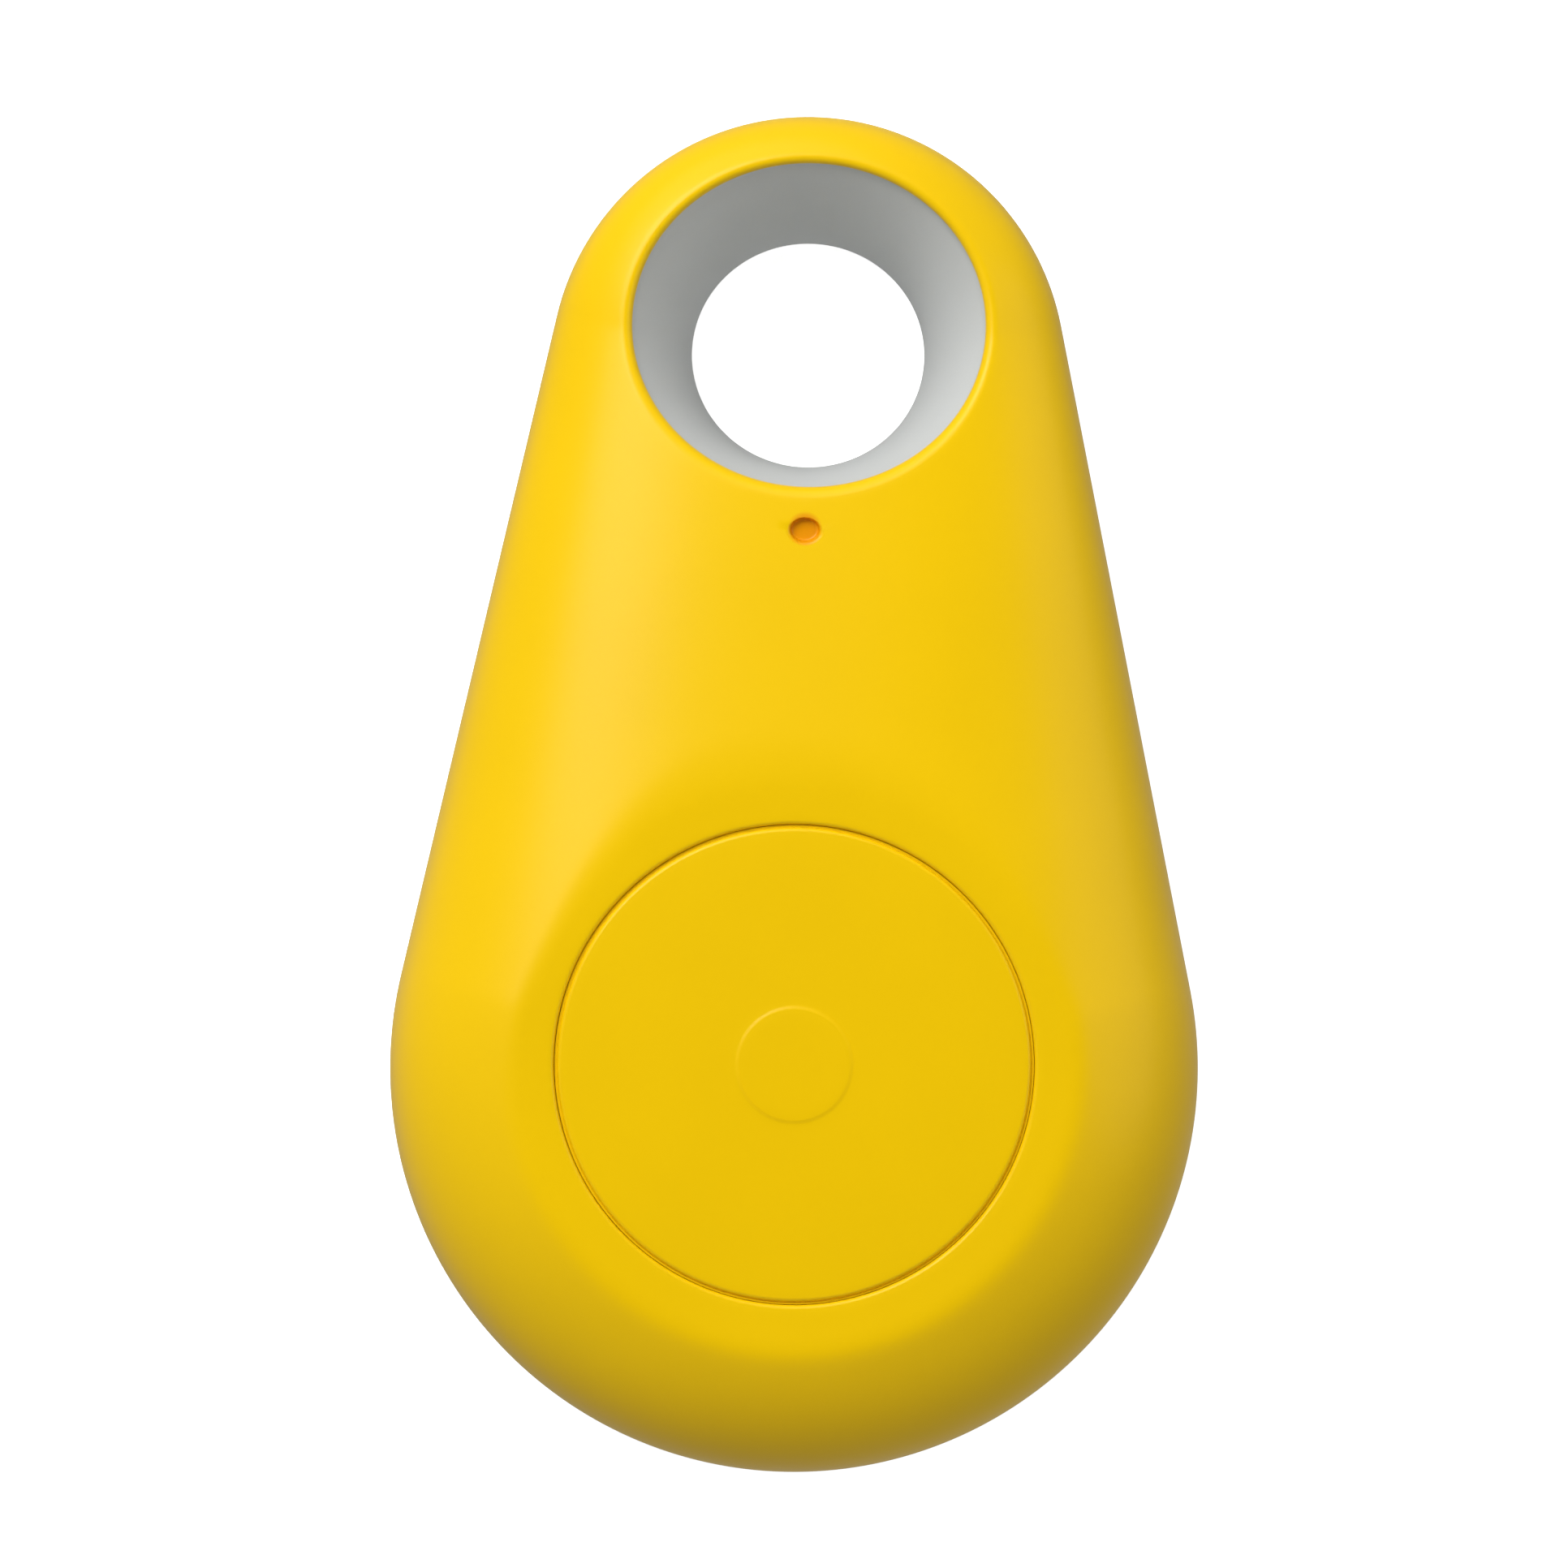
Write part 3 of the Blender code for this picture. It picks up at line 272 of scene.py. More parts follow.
def satin_cover(name, tone, grain):
    """The front's plastic, with the dimple's floor and walls tinted a deeper amber as painted shade
    of the recess.
    """
    finish = moulded_plastic(name, tone, 0.45, grain, drift=0.02)
    sizes = bpy.context.scene.tag_sizes
    # Painted shade: round the dimple's floor the base colour turns to a deeper amber, fading out
    # past the reach.
    floor = CaseShape(sizes).front_height(0.0, sizes.dimple_place) - sizes.dimple_depth
    span = finish.node("VectorMath", {0: finish.place, 1: (0.0, sizes.dimple_place, floor)})
    span.operation = "DISTANCE"
    reach = {"From Min": PAINTED_SHADE_REACH, "From Max": PAINTED_SHADE_REACH + PAINTED_SHADE_FADE}
    values = {"Value": span.outputs["Value"], **reach, "To Min": 1.0, "To Max": 0.0}
    dimple_shade_mask = finish.node("MapRange", values).outputs["Result"]
    plain = finish.shader["Base Color"].links[0].from_socket
    dimple_shade_mix = finish.node("MixRGB", {"Fac": dimple_shade_mask, "Color1": plain, "Color2": (*PAINTED_DIMPLE_SHADE, 1.0)})
    finish.link(dimple_shade_mix.outputs["Color"], finish.shader["Base Color"])
    finish.set(Specular_Tint=(1.0, 0.7, 0.02, 1.0), Specular_IOR_Level=0.2)
    finish.set(Coat_Weight=0.34, Coat_Roughness=0.28)
    return finish


def rolled_metal(name, tone, roughness, stretch=(1.0, 14.0, 14.0), line=0.5 * MM):
    """Plated sheet metal with fine lines left by rolling, and faint stains."""
    finish = Finish(name)
    finish.set(Metallic=1.0)
    lines = finish.noise(line, 3.0, stretch)
    finish.roughness(lines, roughness - 0.06, roughness + 0.08)
    finish.tones(finish.noise(3 * MM, 3.0), shade(tone, 0.88), shade(tone, 1.06))
    finish.bump(lines, 0.35, 0.004 * MM)
    return finish


def solder_mask(name, tone):
    """Glossy mask over woven glass: the weave shows through as a faint square pattern."""
    finish = Finish(name)
    waves = []
    for direction in ("X", "Y"):
        values = {"Vector": finish.place, "Scale": math.pi / (10 * WEAVE_PITCH), "Distortion": 0.6}
        wave = finish.node("TexWave", values)
        wave.bands_direction = direction
        waves.append(wave.outputs["Fac"])
    weave = finish.node("Math", dict(enumerate(waves)))
    weave.operation = "MULTIPLY"
    finish.tones(weave.outputs[0], shade(tone, 0.8), shade(tone, 1.35))
    finish.set(Coat_Weight=0.5, Coat_Roughness=0.12)
    finish.roughness(finish.noise(1.5 * MM), 0.28, 0.4)
    finish.bump(weave.outputs[0], 0.25, 0.01 * MM)
    return finish


def fired_ceramic(name, tone, roughness):
    """Fired or pressed ceramic with a speckled grain."""
    finish = Finish(name)
    speckle = finish.noise(0.08 * MM, 4.0)
    finish.tones(speckle, shade(tone, 0.8), shade(tone, 1.15))
    finish.roughness(speckle, roughness - 0.05, roughness + 0.08)
    finish.bump(speckle, 0.4, 0.006 * MM)
    return finish


def clear_resin(name):
    """Clear cast resin with slight waves on its surface."""
    finish = Finish(name)
    finish.set(Transmission_Weight=0.85, IOR=1.5)
    haze = finish.noise(0.6 * MM)
    finish.tones(haze, (0.93, 0.94, 0.9), (0.98, 0.98, 0.95))
    finish.roughness(haze, 0.06, 0.16)
    finish.bump(haze, 0.3, 0.01 * MM)
    return finish


def open_foam(name, tone):
    """Soft foam with open cells, whose pits are painted darker as shade."""
    finish = Finish(name)
    values = {"Vector": finish.place, "Scale": 1.0 / (0.25 * MM)}
    pores = finish.node("TexVoronoi", values).outputs["Distance"]
    # Painted shade: the pits that the same pattern sinks are also darkened.
    finish.tones(pores, shade(tone, 0.5), shade(tone, 1.3))
    finish.roughness(pores, 0.85, 0.98)
    finish.bump(pores, 0.8, 0.06 * MM)
    return finish


def finish_of(name):
    """The material of one finish, made the first time that it is asked for."""
    label = "finish_" + name
    known = bpy.data.materials.get(label)
    if known is not None:
        return known
    tones = bpy.context.scene.tag_colours
    grain = bpy.context.scene.tag_sizes.grain
    even = (1.0, 1.0, 1.0)
    recipes = {
        "cover_yellow": (satin_cover, tones.cover_yellow, grain),
        "cover_white": (moulded_plastic, tones.cover_white, 0.4, grain, 0.006 * MM, 0.02),
        "board_green": (solder_mask, tones.board_green),
        "board_trace": (solder_mask, shade(tones.board_green, 1.9)),
        "black_moulding": (moulded_plastic, tones.black_moulding, 0.5, 0.07 * MM, 0.012 * MM, 0.2),
        "bright_steel": (rolled_metal, tones.bright_steel, 0.26),
        "nickel": (rolled_metal, tones.nickel, 0.24, (1.0, 6.0, 1.0), 0.35 * MM),
        "tin": (rolled_metal, tones.tin, 0.34, even, 0.2 * MM),
        "gold": (rolled_metal, tones.gold, 0.26, even, 0.3 * MM),
        "copper": (rolled_metal, tones.copper, 0.36, (1.0, 1.0, 9.0), 0.4 * MM),
        "ceramic_tan": (fired_ceramic, tones.ceramic_tan, 0.45),
        "magnet_grey": (fired_ceramic, (0.1, 0.1, 0.11), 0.55),
        "cathode_black": (fired_ceramic, (0.03, 0.03, 0.034), 0.8),
        "silk_white": (moulded_plastic, (0.75, 0.76, 0.73), 0.6, 0.1 * MM, 0.01 * MM, 0.05),
        "led_white": (moulded_plastic, (0.8, 0.8, 0.76), 0.45, 0.1 * MM),
        "lamp_phosphor": (moulded_plastic, (0.8, 0.62, 0.08), 0.4, 0.06 * MM, 0.01 * MM, 0.1),
        "clear_resin": (clear_resin,),
        "foam_grey": (open_foam, (0.14, 0.14, 0.15)),
        "gasket_black": (moulded_plastic, (0.035, 0.035, 0.035), 0.55, 0.15 * MM),
        "separator_white": (open_foam, (0.8, 0.8, 0.78)),
        "lithium_grey": (rolled_metal, (0.45, 0.46, 0.48), 0.5),
    }
    make, *settings = recipes[name]
    return make(label, *settings).material


# ---------------------------------------------------------------- making pieces


# Faces that meet at more than this angle keep a crisp edge.
SHARP_ANGLE = math.radians(30)


def make_piece(name, bm, finish, body, replaces=()):
    """Turns a bmesh, drawn in place, into a finished piece that rides on a body."""
    bmesh.ops.recalc_face_normals(bm, faces=bm.faces[:])
    mesh = bpy.data.meshes.new(name)
    bm.to_mesh(mesh)
    bm.free()
    mesh.shade_smooth()
    mesh.set_sharp_from_angle(angle=SHARP_ANGLE)
    mesh.materials.append(finish_of(finish))
    piece = bpy.data.objects.new(name, mesh)
    bpy.context.scene.collection.objects.link(piece)
    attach(piece, body)
    if replaces:
        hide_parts(*replaces)
    return piece


def dress_node(name, finish):
    """Gives a frame node that stays in view its own finish."""
    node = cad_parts[name]
    node.data.materials.clear()
    node.data.materials.append(finish_of(finish))


def merge_into(bm, other):
    """Adds another bmesh's solids to bm."""
    mesh = bpy.data.meshes.new("joined")
    other.to_mesh(mesh)
    other.free()
    bm.from_mesh(mesh)
    bpy.data.meshes.remove(mesh)


def grouped(solids):
    """Separate solids kept together in one bmesh."""
    bm = bmesh.new()
    for solid in solids:
        merge_into(bm, solid)
    return bm


def combined(bm, solids, operation):
    """bm joined with solids or cut by them, as one closed surface."""
    objects = []
    for shape in (bm, grouped(solids)):
        mesh = bpy.data.meshes.new("operand")
        bmesh.ops.triangulate(shape, faces=shape.faces[:])
        bmesh.ops.recalc_face_normals(shape, faces=shape.faces[:])
        shape.to_mesh(mesh)
        shape.free()
        obj = bpy.data.objects.new("operand", mesh)
        bpy.context.scene.collection.objects.link(obj)
        objects.append(obj)
    modifier = objects[0].modifiers.new("combine", "BOOLEAN")
    modifier.operation = operation
    modifier.solver = "EXACT"
    modifier.object = objects[1]
    graph = bpy.context.evaluated_depsgraph_get()
    result = bmesh.new()
    result.from_object(objects[0], graph)
    for obj in objects:
        bpy.data.objects.remove(obj)
    return result


def turned(profile, segments, centre=(0.0, 0.0)):
    """Solid turned about a vertical axis from (radius, height) pairs; a ring if none is on it."""
    bm = bmesh.new()
    verts = [bm.verts.new((radius, 0.0, height)) for radius, height in profile]
    edges = [bm.edges.new(pair) for pair in zip(verts, verts[1:])]
    if profile[0][0] > MERGE:
        edges.append(bm.edges.new((verts[-1], verts[0])))
    bmesh.ops.spin(
        bm,
        geom=verts + edges,
        axis=(0, 0, 1),
        cent=(0, 0, 0),
        steps=segments,
        angle=math.tau,
        use_merge=True,
    )
    bmesh.ops.remove_doubles(bm, verts=bm.verts[:], dist=MERGE)
    bmesh.ops.translate(bm, verts=bm.verts[:], vec=(centre[0], centre[1], 0.0))
    bmesh.ops.recalc_face_normals(bm, faces=bm.faces[:])
    return bm


def rounded_corner(radius, height, size, first, last, steps=4):
    """Profile points round a corner's own centre, between two angles in quarter turns."""
    points = []
    for step in range(steps + 1):
        angle = mix(first, last, step / steps) * QUARTER
        points.append((radius + size * math.cos(angle), height + size * math.sin(angle)))
    return points


def disc(radius, low, high, segments=32, centre=(0.0, 0.0), edge=0.0):
    """A round plate, with rounded edges if edge is given."""
    if not edge:
        profile = [(0.0, low), (radius, low), (radius, high), (0.0, high)]
        return turned(profile, segments, centre)
    profile = [(0.0, low)]
    profile += rounded_corner(radius - edge, low + edge, edge, -1, 0)
    profile += rounded_corner(radius - edge, high - edge, edge, 0, 1)
    profile.append((0.0, high))
    return turned(profile, segments, centre)


def round_edges(bm, edges, size, steps):
    """Rounds some of a solid's edges."""
    bmesh.ops.bevel(
        bm,
        geom=edges,
        offset=size,
        offset_type="OFFSET",
        segments=steps,
        profile=0.5,
        affect="EDGES",
        clamp_overlap=True,
        material=-1,
    )


def slab(size_x, size_y, low, high, centre=(0.0, 0.0), bevel=0.0, steps=3):
    """A box between two heights, with its edges rounded."""
    bm = bmesh.new()
    size = (size_x, size_y, high - low, 1.0)
    bmesh.ops.create_cube(bm, size=1.0, matrix=Matrix.Diagonal(size))
    if bevel:
        round_edges(bm, bm.edges[:], bevel, steps)
    middle = (centre[0], centre[1], (low + high) / 2)
    bmesh.ops.translate(bm, verts=bm.verts[:], vec=middle)
    return bm


def slab_of(node, bevel, steps=3):
    """A rounded box with a frame node's own box."""
    low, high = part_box(node)
    centre = ((low.x + high.x) / 2, (low.y + high.y) / 2)
    return slab(high.x - low.x, high.y - low.y, low.z, high.z, centre, bevel, steps)


def middle_of(node):
    """Middle of a frame node's box, seen from above."""
    low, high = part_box(node)
    return (low.x + high.x) / 2, (low.y + high.y) / 2


def raise_face(bm, face, step):
    """Extrudes a flat face into a solid."""
    raised_parts = bmesh.ops.extrude_face_region(bm, geom=[face], use_keep_orig=True)
    far = [item for item in raised_parts["geom"] if isinstance(item, bmesh.types.BMVert)]
    bmesh.ops.translate(bm, verts=far, vec=step)
    bmesh.ops.recalc_face_normals(bm, faces=bm.faces[:])
    return bm


def prism(points, low, high, bevel=0.0, steps=2):
    """A flat outline raised between two heights, with its rims rounded."""
    bm = bmesh.new()
    face = bm.faces.new([bm.verts.new((point[0], point[1], low)) for point in points])
    raise_face(bm, face, (0.0, 0.0, high - low))
    if bevel:
        rims = [edge for edge in bm.edges if abs(edge.verts[0].co.z - edge.verts[1].co.z) < MERGE]
        round_edges(bm, rims, bevel, steps)
    return bm


def sheet_strip(path, thickness, half_width, bend):
    """Bent sheet metal whose middle line is a path in (across, height), with rounded bends."""
    bend_rows = 4
    line = [Vector((across, 0.0, height)) for across, height in path]
    smooth = [line[0]]
    for before, corner, after in zip(line, line[1:], line[2:]):
        back = (before - corner).normalized() * bend
        ahead = (after - corner).normalized() * bend
        for step in range(bend_rows + 1):
            share = step / bend_rows
            start = corner + back * (1 - share)
            end = corner + ahead * share
            smooth.append(start.lerp(end, share))
    smooth.append(line[-1])
    bm = bmesh.new()
    sides = ([], [])
    for index, point in enumerate(smooth):
        previous = smooth[max(index - 1, 0)]
        following = smooth[min(index + 1, len(smooth) - 1)]
        along = (following - previous).normalized()
        across = Vector((-along.z, 0.0, along.x)) * thickness / 2
        sides[0].append(bm.verts.new(point + across))
        sides[1].append(bm.verts.new(point - across))
    face = bm.faces.new(sides[0] + sides[1][::-1])
    bmesh.ops.translate(bm, verts=bm.verts[:], vec=(0.0, -half_width, 0.0))
    return raise_face(bm, face, (0.0, 2 * half_width, 0.0))


def placed(bm, x=0.0, y=0.0, z=0.0, turn=0.0):
    """bm turned about the vertical axis and then moved."""
    matrix = Matrix.Translation((x, y, z)) @ Matrix.Rotation(turn, 4, "Z")
    bmesh.ops.transform(bm, matrix=matrix, verts=bm.verts[:])
    return bm


def mix(start, end, share):
    """Value between start and end."""
    return start + (end - start) * share


def smooth_step(value):
    """0 below 0, 1 above 1, and a smooth rise between."""
    share = min(max(value, 0.0), 1.0)
    return share * share * (3 - 2 * share)


# ---------------------------------------------------------------- the case's surfaces

BUTTON_RADIUS = 9.0 * MM
CREST_WIDTH = 4.0 * MM
DIMPLE_STRETCH = (1.16, 0.94, 1.0)
LEDGE_GAP = 0.02 * MM
FUNNEL_FLARE = 0.7
FLOOR_CURVE_TRIM = 0.3 * MM


class CaseShape:
    """Surfaces of the two covers, from the sizes and the frame's boxes."""

    BASE_ARC = 72
    SIDE_BY_BUTTON = 36
    SIDE_BY_WEB = 36
    SIDE_BY_EYE = 40
    EYE_END_ARC = 40
    STATIONS = BASE_ARC + SIDE_BY_BUTTON + SIDE_BY_WEB + SIDE_BY_EYE + EYE_END_ARC
    WEB_START = BASE_ARC + SIDE_BY_BUTTON
    WEB_END = WEB_START + SIDE_BY_WEB
    SIDE_END = STATIONS - EYE_END_ARC

    def __init__(self, sizes):
        self.sizes = sizes
        self.base_radius = (FRONT_HIGH.x - FRONT_LOW.x) / 2
        self.eye_end_radius = sizes.eye_end_radius
        self.base_y = FRONT_LOW.y + self.base_radius
        self.eye_end_y = FRONT_HIGH.y - sizes.eye_end_radius
        reach = self.eye_end_y - self.base_y
        self.taper = math.asin((self.base_radius - self.eye_end_radius) / reach)
        self.facet_z = FRONT_HIGH.z
        self.parting_z = FRONT_LOW.z
        self.widest_z = sizes.widest_height
        self.slope = math.tan(sizes.crest_slope)
        self.power = sizes.dome_power
        self.softness = sizes.facet_softness
        self.facet_radius = sizes.facet_radius
        self.wall = sizes.wall
        self.opening = BUTTON_RADIUS + sizes.button_gap
        self.dish = sizes.facet_dish

    def front_height(self, x, y, shrink=0.0):
        """Height of the front's surface, or of it shrunk by a wall's thickness."""
        side = abs(x)
        if side < CREST_WIDTH:
            side = (side * side / CREST_WIDTH + CREST_WIDTH) / 2
        spine_y = y - side * math.tan(self.taper)
        spine_y = min(max(spine_y, self.base_y), self.eye_end_y)
        share = (spine_y - self.base_y) / (self.eye_end_y - self.base_y)
        radius = mix(self.base_radius, self.eye_end_radius, share) - shrink
        reach = min(math.hypot(x, y - spine_y) / radius, 1.0)
        facet = self.facet_z - shrink
        crest = facet + self.slope * (self.base_y + self.facet_radius - spine_y)
        rise = (1.0 - reach**self.power) ** (1.0 / self.power)
        dome = self.widest_z + (crest - self.widest_z) * rise
        if not shrink:
            radius = math.hypot(x, y - BUTTON_Y)
            width = self.facet_radius - self.opening
            facet -= self.dish * smooth_step((self.facet_radius - radius) / width)
        near = max(self.softness - abs(dome - facet), 0.0) / self.softness
        return min(dome, facet) - near * near * self.softness / 4

    def outline_point(self, station, inset):
        """Point of the right half of the outline, moved inwards by inset."""
        if station <= self.BASE_ARC:
            spine_y = self.base_y
            radius = self.base_radius
            angle = mix(-QUARTER, self.taper, station / self.BASE_ARC)
        elif station <= self.SIDE_END:
            share = (station - self.BASE_ARC) / (self.SIDE_END - self.BASE_ARC)
            spine_y = mix(self.base_y, self.eye_end_y, share)
            radius = mix(self.base_radius, self.eye_end_radius, share)
            angle = self.taper
        else:
            spine_y = self.eye_end_y
            radius = self.eye_end_radius
            share = (station - self.SIDE_END) / self.EYE_END_ARC
            angle = mix(self.taper, QUARTER, share)
        reach = radius - inset
        return Vector((reach * math.cos(angle), spine_y + reach * math.sin(angle)))

    def eye_angle(self, station):
        """Angle round the eye of a station beside it, from its lowest point upwards."""
        if station <= self.SIDE_END:
            share = (station - self.WEB_END) / self.SIDE_BY_EYE
            return mix(-QUARTER, self.taper, share)
        return mix(self.taper, QUARTER, (station - self.SIDE_END) / self.EYE_END_ARC)

    def eye_point(self, angle, height, grow=0.0):
        """Point of the funnel's wall at a height, moved outwards by grow."""
        sizes = self.sizes
        depth = sizes.eye_front_height - sizes.eye_rear_height
        share = min(max((height - sizes.eye_rear_height) / depth, 0.0), 1.0)
        reach_x = mix(sizes.eye_rear_x, sizes.eye_front_x, share) + grow
        reach_y = mix(sizes.eye_rear_y, sizes.eye_front_y, share) + grow
        middle = mix(sizes.eye_rear_place, sizes.eye_front_place, share)
        point = Vector((reach_x * math.cos(angle), middle + reach_y * math.sin(angle)))
        return Vector((0.0, point.y)) if abs(point.x) < MERGE else point

    def front_inner_point(self, station, opening_grow=0.0, eye_grow=0.0):
        """Where the front ends inwards: the opening, the web's middle line or the eye."""
        front = self.sizes.eye_front_height
        opening = self.opening + opening_grow
        if station <= self.WEB_START:
            if station <= self.BASE_ARC:
                angle = mix(-QUARTER, self.taper, station / self.BASE_ARC)
            else:
                share = (station - self.BASE_ARC) / self.SIDE_BY_BUTTON
                angle = mix(self.taper, QUARTER, share)
            point = Vector((math.cos(angle) * opening, BUTTON_Y + math.sin(angle) * opening))
            return Vector((0.0, point.y)) if abs(point.x) < MERGE else point
        if station < self.WEB_END:
            share = (station - self.WEB_START) / self.SIDE_BY_WEB
            eye_bottom = self.eye_point(-QUARTER, front, eye_grow).y
            return Vector((0.0, mix(BUTTON_Y + opening, eye_bottom, share)))
        return self.eye_point(self.eye_angle(station), front, eye_grow)

    def rear_inner_point(self, station, height, grow):
        """Where the back ends inwards: the middle line or the eye's tube."""
        if station < self.WEB_END:
            eye_bottom = self.eye_point(-QUARTER, height, grow).y
            return Vector((0.0, mix(self.base_y, eye_bottom, station / self.WEB_END)))
        return self.eye_point(self.eye_angle(station), height, grow)

    def front_section(self, station):
        """Closed section of the front cover, over the front and back along its inside."""
        outer_rows = 46
        round_rows = 6
        inner_rows = 18
        crowding = 2.2
        sizes = self.sizes
        at_eye = station >= self.WEB_END
        at_opening = station <= self.WEB_START
        size = sizes.lip_round if at_eye else sizes.opening_round
        rim = self.outline_point(station, 0.0)
        edge = self.front_inner_point(station)
        round_start = self.front_inner_point(station, sizes.opening_round, sizes.lip_round)
        rebate = self.front_inner_point(station, 0.0, sizes.lip_rebate)
        inner_rim = self.outline_point(station, self.wall)
        chamfer = sizes.edge_round / 2
        section = [raised(self.outline_point(station, chamfer), self.parting_z)]
        section.append(raised(rim, self.parting_z + chamfer))
        for row in range(outer_rows + 1):
            point = rim.lerp(round_start, (row / outer_rows) ** crowding)
            section.append(raised(point, self.front_height(*point)))
        for row in range(1, round_rows + 1):
            turn = row / round_rows * QUARTER
            point = edge.lerp(round_start, 1 - math.sin(turn))
            drop = size * (1 - math.cos(turn)) if at_eye or at_opening else 0.0
            section.append(raised(point, self.front_height(*point) - drop))
        if at_opening:
            section.extend([raised(edge, self.front_height(*edge, self.wall))] * 2)
        else:
            section.append(raised(edge, self.front_height(*edge) - sizes.lip))
            section.append(raised(rebate, self.front_height(*rebate) - sizes.lip))
        for row in range(inner_rows + 1):
            point = inner_rim.lerp(rebate, (1 - row / inner_rows) ** crowding)
            section.append(raised(point, self.front_height(*point, self.wall)))
        section.append(raised(inner_rim, self.parting_z + chamfer))
        section.append(raised(self.outline_point(station, self.wall - chamfer), self.parting_z))
        return section

    def lining_top(self, point):
        """Height of the lining's front edge, just behind the front cover's lip."""
        return self.front_height(*point) - self.sizes.lip - self.sizes.fit

    def lining_rows(self, station):
        """The eye's back mouth, funnel, front edge and outer wall, or the middle line."""
        round_rows = 8
        funnel_rows = 24
        edge_rows = 4
        wall_rows = 3
        sizes = self.sizes
        count = round_rows + funnel_rows + 1 + edge_rows + wall_rows
        if station < self.WEB_END:
            middle = self.rear_inner_point(station, sizes.eye_rear_height, 0.0)
            step = sizes.floor_height / (count - 1)
            return [raised(middle, row * step) for row in range(count)]
        rows = []
        angle = self.eye_angle(station)
        mouth = sizes.eye_rear_height
        for row in range(round_rows):
            turn = row / round_rows * QUARTER
            point = self.eye_point(angle, mouth, sizes.eye_round * (1 - math.sin(turn)))
            rows.append(raised(point, mouth * (1 - math.cos(turn))))
        rear = self.eye_point(angle, mouth)
        inner = self.eye_point(angle, sizes.eye_front_height)
        outer = self.eye_point(angle, sizes.eye_front_height, sizes.eye_wall)
        crown = sizes.edge_round
        top = self.lining_top(inner) - crown
        for row in range(funnel_rows + 1):
            share = row / funnel_rows
            flare = mix(share, share * share, FUNNEL_FLARE)
            rows.append(raised(rear.lerp(inner, flare), mix(mouth, top, share)))
        for row in range(1, edge_rows + 1):
            turn = row / edge_rows * QUARTER
            share = (1 - math.cos(turn)) * crown / sizes.eye_wall
            point = inner.lerp(outer, share)
            rows.append(raised(point, self.lining_top(point) - crown * (1 - math.sin(turn))))
        rows.append(raised(outer, self.lining_top(outer)))
        foot = self.eye_point(angle, mouth, sizes.eye_foot_wall)
        height = mix(sizes.floor_height, self.lining_top(outer), 0.5)
        rows.append(raised(foot.lerp(outer, 0.5), height))
        rows.append(raised(foot, sizes.floor_height))
        return rows

    def rear_edge_point(self, station, share, inset, low, high, width):
        """Point of a rounded edge from its side (share 0) to its flat (share 1)."""
        power = 2 / self.sizes.rear_power
        across = 1 - math.cos(share * QUARTER) ** power
        down = math.sin(share * QUARTER) ** power
        return raised(self.outline_point(station, inset + width * across), mix(high, low, down))

    def rear_section(self, station):
        """Closed section of the rear cover, round the back and back along its inside."""
        edge_rows = 22
        flat_rows = 8
        inner_rows = 12
        sizes = self.sizes
        at_eye = station >= self.WEB_END
        inset = sizes.rear_inset
        chamfer = sizes.edge_round / 2
        floor = sizes.floor_height
        mouth = sizes.eye_rear_height
        section = [raised(self.outline_point(station, inset + chamfer), self.parting_z)]
        for row in range(edge_rows + 1):
            share = row / edge_rows
            top = self.parting_z - chamfer
            point = self.rear_edge_point(station, share, inset, 0.0, top, sizes.rear_round)
            section.append(point)
        flat_start = self.outline_point(station, inset + sizes.rear_round)
        flat_end = self.rear_inner_point(station, mouth, sizes.eye_round if at_eye else 0.0)
        for row in range(1, flat_rows):
            section.append(raised(flat_start.lerp(flat_end, row / flat_rows), 0.0))
        section.extend(self.lining_rows(station))
        foot = self.rear_inner_point(station, mouth, sizes.eye_foot_wall if at_eye else 0.0)
        tongue_back = sizes.tongue_inset + sizes.tongue_thickness
        width = sizes.rear_round + inset + self.wall - tongue_back - FLOOR_CURVE_TRIM
        floor_end = self.outline_point(station, tongue_back + width)
        for row in range(1, flat_rows):
            section.append(raised(foot.lerp(floor_end, row / flat_rows), floor))
        for row in range(inner_rows + 1):
            share = 1 - row / inner_rows
            top = self.parting_z
            section.append(self.rear_edge_point(station, share, tongue_back, floor, top, width))
        tip = sizes.tongue_height
        section.append(raised(self.outline_point(station, tongue_back), tip - chamfer))
        section.append(raised(self.outline_point(station, tongue_back - chamfer), tip))
        section.append(raised(self.outline_point(station, sizes.tongue_inset + chamfer), tip))
        section.append(raised(self.outline_point(station, sizes.tongue_inset), tip - chamfer))
        section.append(raised(self.outline_point(station, sizes.tongue_inset), self.parting_z))
        return section

    def shell(self, section_of):
        """Closed shell through the closed sections of the right half, mirrored to the left."""
        sections = [section_of(station) for station in range(self.STATIONS + 1)]
        columns = len(sections[0])
        bm = bmesh.new()
        bmesh.ops.create_grid(bm, x_segments=columns, y_segments=self.STATIONS, size=0.5)
        for vert in bm.verts:
            column = round((vert.co.x + 0.5) * columns)
            station = round((vert.co.y + 0.5) * self.STATIONS)
            vert.co = sections[station][column % columns]
        bmesh.ops.remove_doubles(bm, verts=bm.verts[:], dist=MERGE)
        middle = [face for face in bm.faces if all(abs(v.co.x) < MERGE for v in face.verts)]
        bmesh.ops.delete(bm, geom=middle, context="FACES")
        loose = [vert for vert in bm.verts if not vert.link_faces]
        bmesh.ops.delete(bm, geom=loose, context="VERTS")
        half = bm.verts[:] + bm.edges[:] + bm.faces[:]
        turn = Matrix.Identity(4)
        bmesh.ops.mirror(bm, geom=half, matrix=turn, merge_dist=MERGE, axis="X")
        bmesh.ops.recalc_face_normals(bm, faces=bm.faces[:])
        return bm


def raised(point, height):
    """A flat point lifted to a height."""
    return Vector((point.x, point.y, height))


